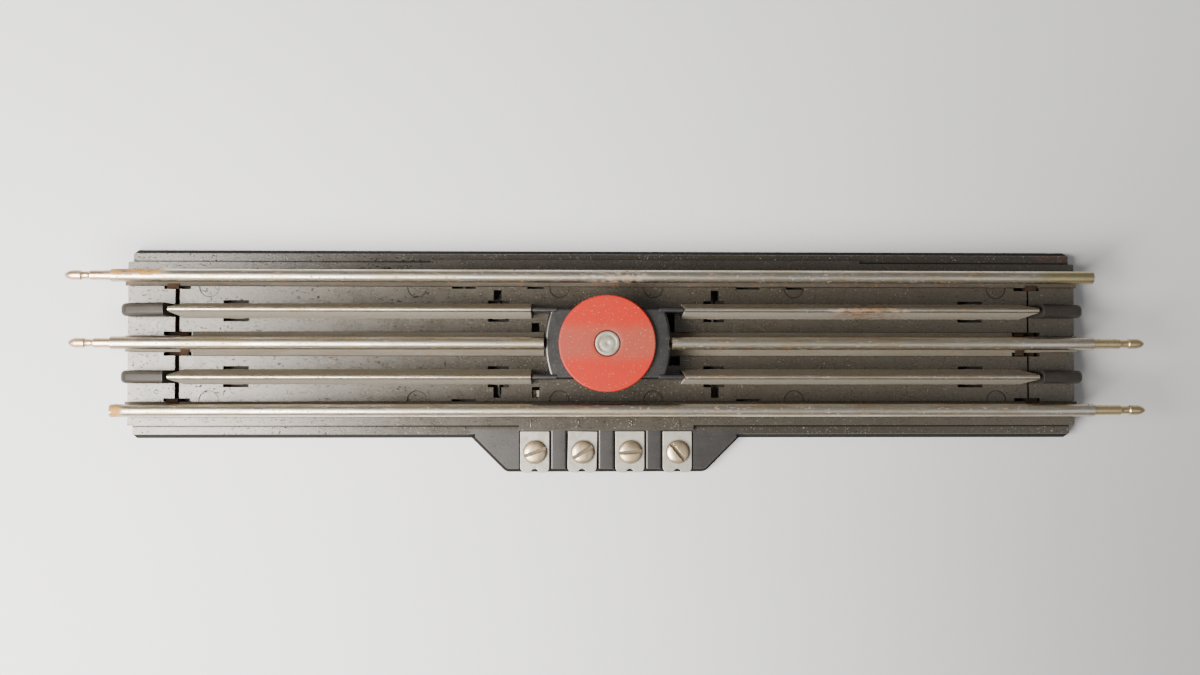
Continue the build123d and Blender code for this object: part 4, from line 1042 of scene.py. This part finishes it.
class TRACK_OT_control_rails(bpy.types.Operator):
    """Folds the four tent-shaped control rails"""
    bl_idname = "track.control_rails"
    bl_label = "Control Rails"

    def execute(self, context):
        look = settings("rails")
        metal = finish_named("rail_metal", rail_metal)
        low, high = node_box("control_rail_far_right")
        sheet = look.control_sheet / MM
        crest = CREST_HALF_WIDTH - sheet / 2
        shoulder = high.z - CREST_HEIGHT
        foot = CONTROL_FLANGE - sheet / 2
        bow = arc((0, shoulder), high.z - sheet / 2 - shoulder, 158, 22, 8)
        widened = [(y * crest / 0.40, z) for y, z in bow]
        path = [(-foot, CONTROL_SEAT)] + widened + [(foot, CONTROL_SEAT)]
        rail = folded_sheet("control", [(CONTROL_Y + y, z) for y, z in path], (low.x, high.x), sheet)
        editing(rail)
        bpy.ops.mesh.bisect(plane_co=Vector((high.x, CONTROL_Y, high.z)) * MM,
                            plane_no=Vector((high.z - CONTROL_SEAT, 0, -CONTROL_RAKE)).normalized(),
                            clear_outer=True)
        done()
        apply_all(rail)
        tidy_mesh(rail)
        soften(rail, 0.06, 1, 60)
        rear = node_box("base")[1].x - END_BLOCK
        tabs = []
        for x in (27.0, rear - 17.85):
            for way in (-1, 1):
                ys = (CONTROL_Y + way * CONTROL_FLANGE, CONTROL_Y + way * (CONTROL_FLANGE - sheet))
                tabs.append(block("tab", (x, x + 3.4), ys, (1.3, 5.6)))
        rail = joined("control", [rail] + tabs)
        for side_name, side in SIDES.items():
            for end_name, end in ENDS.items():
                node = f"control_rail_{side_name}_{end_name}"
                piece = copy_of(rail, node + "_folded", flip_x=end < 0, flip_y=side < 0)
                finish(piece, node + "_folded", metal, replaces=[node])
        bpy.data.objects.remove(rail)
        return {"FINISHED"}


PINS = {"far_left": "pin_steel", "centre_left": "pin_steel", "centre_right": "pin_brass",
        "near_right": "pin_brass"}
PIN_RADIUS = 1.27
PIN_NECK = 1.0                # radius in the groove
PIN_SHANK = 1.05              # radius inside the rail
PIN_DEPTH = 12.0
PIN_TIP = 1.9
PIN_RING = 2.3


def pin_profile(reach):
    """A pin from inside its rail: shank, ring, groove, ring and rounded tip."""
    ring = reach - PIN_TIP
    neck = ring - PIN_RING
    shank = neck - PIN_RING
    r = PIN_RADIUS
    inside = [(0, -PIN_DEPTH), (0.8, -PIN_DEPTH), (PIN_SHANK, 0.25 - PIN_DEPTH), (PIN_SHANK, -0.3),
              (PIN_SHANK, 0)]
    first = [(r - 0.06, 0), (r, 0.06), (r, shank - 0.08), (r - 0.08, shank)]
    groove = [(PIN_NECK, shank + 0.28), (PIN_NECK, neck - 0.28)]
    second = [(r - 0.08, neck), (r, neck + 0.08), (r, ring), (r - 0.06, ring + 0.25)]
    tip = [(1.08, ring + 0.8), (0.91, ring + 1.15), (0.62, ring + 1.55), (0.38, reach - 0.08),
           (0.28, reach - 0.01), (0, reach)]
    return inside + first + groove + second + tip


class TRACK_OT_track_pins(bpy.types.Operator):
    """Turns the four grooved track pins"""
    bl_idname = "track.track_pins"
    bl_label = "Track Pins"

    def execute(self, context):
        look = settings("rails")
        metals = {"pin_steel": finish_named("pale_pin", turned_metal, "pale_pin", look.pale_pin_colour,
                                            (0.42, 0.27, 0.16), 0.30),
                  "pin_brass": finish_named("brass_pin", turned_metal, "brass_pin", look.brass_pin_colour,
                                            (0.30, 0.15, 0.05), 0.26)}
        for name, slot in PINS.items():
            node = f"track_pin_{name}"
            low, high = node_box(node)
            at = (low + high) / 2
            end = 1 if at.x > 0 else -1
            rail_end = end * node_box("outer_rail_far")[1].x
            reach = (high.x if end > 0 else -low.x) - abs(rail_end)
            piece = spun(node, pin_profile(reach), (0, 0, 0), "X", 40)
            only(piece)
            if end < 0:
                bpy.ops.transform.resize(value=(-1, 1, 1), center_override=(0, 0, 0))
            bpy.ops.transform.translate(value=(rail_end * MM, at.y * MM, at.z * MM))
            bpy.ops.object.transform_apply(location=True, rotation=True, scale=True)
            tidy_mesh(piece)
            finish(piece, node + "_turned", metals[slot], replaces=[node], angle=40)
        return {"FINISHED"}


# ------------------------------------------------------------------ magnet
class TRACK_OT_magnet(bpy.types.Operator):
    """Turns the round red cap and the riveted core, and paints the coil below"""
    bl_idname = "track.magnet"
    bl_label = "Magnet"

    def execute(self, context):
        look = settings("magnet")
        low, high = node_box("magnet_cap")
        x = (low.x + high.x) / 2
        radius, edge = (high.x - low.x) / 2, look.cap_edge / MM
        bore = (node_box("magnet_core")[1].x - node_box("magnet_core")[0].x) / 2
        rim = arc((radius - edge, high.z - edge), edge, 0, 90, 6)
        lower_rim = arc((radius - 0.15, low.z + 0.15), 0.15, -90, 0, 3)
        profile = ([(bore, low.z)] + lower_rim + rim + [(bore + 1.2, high.z), (bore + 0.35, high.z - 0.03),
                   (bore + 0.06, high.z - 0.14), (bore, high.z - 0.24), (bore, low.z)])
        cap = spun("cap", profile, (x, 0, 0), "Z", 128)
        finish(cap, "magnet_cap_enamelled", finish_named("red_enamel", red_enamel),
               replaces=["magnet_cap"], angle=40)
        low, high = node_box("magnet_core")
        top = high.z
        side = [(0, low.z), (bore, low.z), (bore, top - 0.30), (bore - 0.05, top - 0.12),
                (bore - 0.18, top - 0.02), (bore - 0.4, top)]
        groove = [(2.42, top), (2.30, top - 0.04), (2.24, top - 0.10), (1.98, top - 0.10),
                  (1.92, top - 0.04), (1.82, top)]
        dimple = [(0.70, top), (0.55, top - 0.04), (0.25, top - 0.12), (0, top - 0.15)]
        core = spun("core", side + groove + dimple, (x, 0, 0), "Z", 96)
        steel = finish_named("core_steel", plain_finish, "core_steel", look.core_colour, (0.26, 0.22, 0.16),
                             0.5, 0.42)
        finish(core, "magnet_core_riveted", steel, replaces=["magnet_core"], angle=40)
        paint("magnet_yoke", steel)
        nylon = finish_named("nylon", plain_finish, "nylon", (0.62, 0.58, 0.46), (0.50, 0.45, 0.34),
                             0.0, 0.45)
        paint("coil_bobbin", nylon)
        paint("coil_winding", finish_named("wound_wire", wound_wire))
        return {"FINISHED"}


# ------------------------------------------------------------------ terminals
SCREW_TURN = {1: 20.0, 2: 32.0, 3: 5.0, 4: -50.0}
PLATE_TURN = {1: 0.0, 2: -1.2, 3: 0.0, 4: 0.0}
NOTCH_RADIUS = 1.0
THREAD_RADIUS = 1.5875
THREAD_ROOT = 1.30
THREAD_PITCH = 0.635
NUMERAL_PLACES = {1: (-20.0, -21.2), 2: (-7.6, -21.2), 3: (6.5, -21.2), 4: (19.1, -21.2)}


def turned_about(piece, degrees, x, y):
    """Turns a piece in plan about a spot, by the right-hand rule."""
    only(piece)
    bpy.ops.transform.rotate(value=-math.radians(degrees), orient_axis="Z",
                             center_override=(x * MM, y * MM, 0))
    bpy.ops.object.transform_apply(location=True, rotation=True, scale=True)


class TRACK_OT_clamp_plates(bpy.types.Operator):
    """Stamps the four loose clamp plates"""
    bl_idname = "track.clamp_plates"
    bl_label = "Clamp Plates"

    def execute(self, context):
        look = settings("terminals")
        tin = finish_named("tin_plate", tin_plate)
        low, high = node_box("clamp_plate_1")
        at = middle("terminal_screw_1")
        radius = look.plate_radius / MM
        corners = [(low.x, low.y), (high.x, low.y), (high.x, high.y), (low.x, high.y)]
        plate = prism("plate", rounded(corners, (radius, radius, 0.25, 0.25)), "Z", low.z, high.z)
        combine(plate, post("cut", at.x, low.y, (0, 9), NOTCH_RADIUS, 32), "DIFFERENCE")
        combine(plate, post("cut", at.x, at.y, (0, 9), SCREW_HOLE, 40), "DIFFERENCE")
        tidy_mesh(plate)
        bevel_where(plate, lambda m, d: m.z > high.z - 0.01 and abs(d.z) < 0.1, 0.16, 3)
        bevel_where(plate, lambda m, d: m.z < low.z + 0.01 and abs(d.z) < 0.1, 0.06, 1)
        for number in NUMBERS:
            there = middle(f"terminal_screw_{number}")
            piece = copy_of(plate, f"clamp_plate_{number}_stamped", shift=(there.x - at.x, 0, 0))
            if PLATE_TURN[number]:
                turned_about(piece, PLATE_TURN[number], there.x, there.y)
            finish(piece, f"clamp_plate_{number}_stamped", tin,
                   body=f"clamp_plate_{number}", replaces=[f"clamp_plate_{number}"])
        bpy.data.objects.remove(plate)
        return {"FINISHED"}


class TRACK_OT_terminal_screws(bpy.types.Operator):
    """Turns and slots the four terminal screws"""
    bl_idname = "track.terminal_screws"
    bl_label = "Terminal Screws"

    def execute(self, context):
        look = settings("terminals")
        metal = finish_named("screw_metal", screw_metal)
        low, high = node_box("terminal_screw_1")
        at = middle("terminal_screw_1")
        radius, seat = (high.x - low.x) / 2, node_box("clamp_plate_1")[1].z
        crown = high.z
        rim = seat + 0.5
        dome = [(radius * math.cos(a) ** 0.75, rim + (crown - rim) * math.sin(a) ** 0.75)
                for a in (i * math.pi / 24 for i in range(1, 12))]
        thread = []
        z = low.z + 0.5
        while z < seat - 0.9:
            thread += [(THREAD_ROOT, z), (THREAD_RADIUS, z + 0.2), (THREAD_RADIUS, z + 0.28),
                       (THREAD_ROOT, z + 0.48)]
            z += THREAD_PITCH
        head = [(1.5, seat - 0.3), (1.5, seat), (radius - 0.12, seat), (radius, seat + 0.12), (radius, rim)]
        profile = [(0, low.z), (1.2, low.z)] + thread + head + dome + [(0, crown)]
        start = spun("screw", profile, (at.x, at.y, 0), "Z", 72)
        half = look.slot_width / MM / 2
        slot = block("cut", (at.x - 5, at.x + 5), (at.y - half, at.y + half), (crown - 0.85, crown + 1))
        combine(start, slot, "DIFFERENCE")
        tidy_mesh(start)
        bevel_where(start, lambda m, d: abs(abs(m.y - at.y) - half) < 0.01 and m.z > crown - 0.8
                    and abs(d.z) < 0.8, 0.07, 2)
        for number in NUMBERS:
            there = middle(f"terminal_screw_{number}")
            piece = copy_of(start, f"terminal_screw_{number}_slotted", shift=(there.x - at.x, 0, 0))
            turned_about(piece, SCREW_TURN[number], there.x, there.y)
            finish(piece, f"terminal_screw_{number}_slotted", metal,
                   body=f"terminal_screw_{number}", replaces=[f"terminal_screw_{number}"], angle=38)
        bpy.data.objects.remove(start)
        return {"FINISHED"}


class TRACK_OT_numerals(bpy.types.Operator):
    """Raises the plain numerals 1 to 4 behind the terminals"""
    bl_idname = "track.numerals"
    bl_label = "Numerals"

    def execute(self, context):
        look = settings("terminals")
        plastic = finish_named("moulded_plastic", moulded_plastic)
        top = settings("base").deck_top / MM
        for number, (x, y) in NUMERAL_PLACES.items():
            deselect()
            bpy.ops.object.text_add(location=(0, 0, 0))
            text = bpy.context.object
            text.data.body = str(number)
            text.data.size = look.numeral * 1.3
            text.data.align_x = "CENTER"
            text.data.align_y = "CENTER"
            text.data.extrude = 0.11 * MM
            text.data.bevel_depth = 0.05 * MM
            text.data.bevel_resolution = 1
            bpy.ops.object.convert(target="MESH")
            piece = bpy.context.object
            bpy.ops.transform.translate(value=(x * MM, y * MM, top * MM))
            bpy.ops.object.transform_apply(location=True, rotation=True, scale=True)
            tidy_mesh(piece)
            finish(piece, f"numeral_{number}", plastic)
        return {"FINISHED"}


# ------------------------------------------------------------------ pieces kept from the frame
class TRACK_OT_hidden_parts(bpy.types.Operator):
    """Paints the cover, ties, strips and wires that keep their CAD shape"""
    bl_idname = "track.hidden_parts"
    bl_label = "Cover, Ties and Wires"

    def execute(self, context):
        paint("bottom_cover", finish_named("pressed_fibre", pressed_fibre))
        paint("cover_screws", finish_named("cover_screw", turned_metal, "cover_screw", (0.42, 0.40, 0.36),
                                           (0.16, 0.12, 0.08), 0.34))
        rusty = finish_named("rusty_steel", plain_finish, "rusty_steel", (0.030, 0.023, 0.016),
                             (0.055, 0.028, 0.015), 0.0, 0.85, 1.2)
        rusty.node_tree.nodes["Principled BSDF"].inputs["Specular IOR Level"].default_value = 0.1
        brass = finish_named("strip_brass", turned_metal, "strip_brass", (0.42, 0.38, 0.30),
                             (0.22, 0.18, 0.12), 0.36)
        for end_name in ENDS:
            paint(f"end_tie_{end_name}", rusty)
            paint(f"centre_clip_{end_name}", rusty)
        for number in NUMBERS:
            paint(f"contact_strip_{number}", brass)
        wire = finish_named("wire_insulation", plain_finish, "wire_insulation", (0.05, 0.045, 0.04),
                            (0.10, 0.09, 0.075), 0.0, 0.5)
        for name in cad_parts:
            if name.startswith("lead_") or name.endswith("_jumper"):
                paint(name, wire)
        return {"FINISHED"}


# ------------------------------------------------------------------ stage
CAMERA_AT = (-13.806, -6.908, 362.594)
CAMERA_TURN = (1.388075, -1.938802, 0.027151)
CAMERA_LENS = 40.278


def floor_finish():
    look = settings("stage")
    f = Finish("floor_paper")
    soft = f.noise(90.0, 3.0)
    # Painted shade: the floor's colour darkens towards the right and front, with a little random tone
    shade = f.x.between(-60.0, 190.0) * f.y.between(130.0, -70.0) * 0.7 + soft * 0.1
    return f.wear(Base_Color=f.mix(shade, look.floor_colour, look.shade_colour), Roughness=0.6)


def softbox(name, at, aim, size, power, tint):
    deselect()
    bpy.ops.object.light_add(type="AREA", location=Vector(at) * MM)
    lamp = bpy.context.object
    lamp.name = name
    lamp.data.shape = "RECTANGLE"
    lamp.data.size, lamp.data.size_y = size[0] * MM, size[1] * MM
    lamp.data.energy = power
    lamp.data.color = tint
    lamp.rotation_euler = (Vector(aim) - Vector(at)).to_track_quat("-Z", "Y").to_euler()


class TRACK_OT_stage(bpy.types.Operator):
    """Lays the floor, hangs the lights and sets the camera"""
    bl_idname = "track.stage"
    bl_label = "Stage"

    def execute(self, context):
        look = settings("stage")
        deselect()
        bpy.ops.mesh.primitive_plane_add(size=6.0, location=(0, 0, -0.02 * MM))
        floor = bpy.context.object
        floor.name = "floor"
        floor.data.materials.append(floor_finish())
        softbox("softbox_left", (-250, -112, 330), (-95, -30, 0), (290, 240), look.softbox_power,
                (1.0, 0.985, 0.965))
        softbox("fill_right", (420, -260, 620), (0, 0, 0), (500, 500), look.fill_power,
                (0.96, 0.98, 1.0))
        world = bpy.data.worlds.new("sky")
        world.use_nodes = True
        world.node_tree.nodes["Background"].inputs["Color"].default_value = (0.95, 0.97, 1.0, 1.0)
        world.node_tree.nodes["Background"].inputs["Strength"].default_value = look.sky
        context.scene.world = world
        deselect()
        bpy.ops.object.camera_add(location=Vector(CAMERA_AT) * MM,
                                  rotation=Euler([math.radians(a) for a in CAMERA_TURN]))
        camera = bpy.context.object
        camera.data.sensor_width = 36.0
        camera.data.lens = CAMERA_LENS
        camera.data.clip_start = 0.01
        context.scene.camera = camera
        return {"FINISHED"}


# ------------------------------------------------------------------ add-on
OPERATORS = (TRACK_OT_base, TRACK_OT_running_rails, TRACK_OT_control_rails, TRACK_OT_track_pins,
             TRACK_OT_magnet, TRACK_OT_clamp_plates, TRACK_OT_terminal_screws, TRACK_OT_numerals,
             TRACK_OT_hidden_parts, TRACK_OT_stage)


class TRACK_PT_panel(bpy.types.Panel):
    """Lists the pieces and their settings"""
    bl_label = "Track Section"
    bl_idname = "TRACK_PT_panel"
    bl_space_type = "VIEW_3D"
    bl_region_type = "UI"
    bl_category = "Track"

    def draw(self, context):
        for operator in OPERATORS:
            self.layout.operator(operator.bl_idname)
        for group, kind in SETTINGS.items():
            box = self.layout.box()
            for field in kind.__annotations__:
                box.prop(getattr(context.scene, f"track_{group}"), field)


def register():
    for kind in (*SETTINGS.values(), *OPERATORS, TRACK_PT_panel):
        bpy.utils.register_class(kind)
    for group, kind in SETTINGS.items():
        setattr(bpy.types.Scene, f"track_{group}", bpy.props.PointerProperty(type=kind))


def unregister():
    for group in SETTINGS:
        delattr(bpy.types.Scene, f"track_{group}")
    for kind in (TRACK_PT_panel, *reversed(OPERATORS), *reversed(SETTINGS.values())):
        bpy.utils.unregister_class(kind)


def main():
    register()
    for operator in OPERATORS:
        group, name = operator.bl_idname.split(".")
        getattr(getattr(bpy.ops, group), name)()


if __name__ == "__main__":
    main()
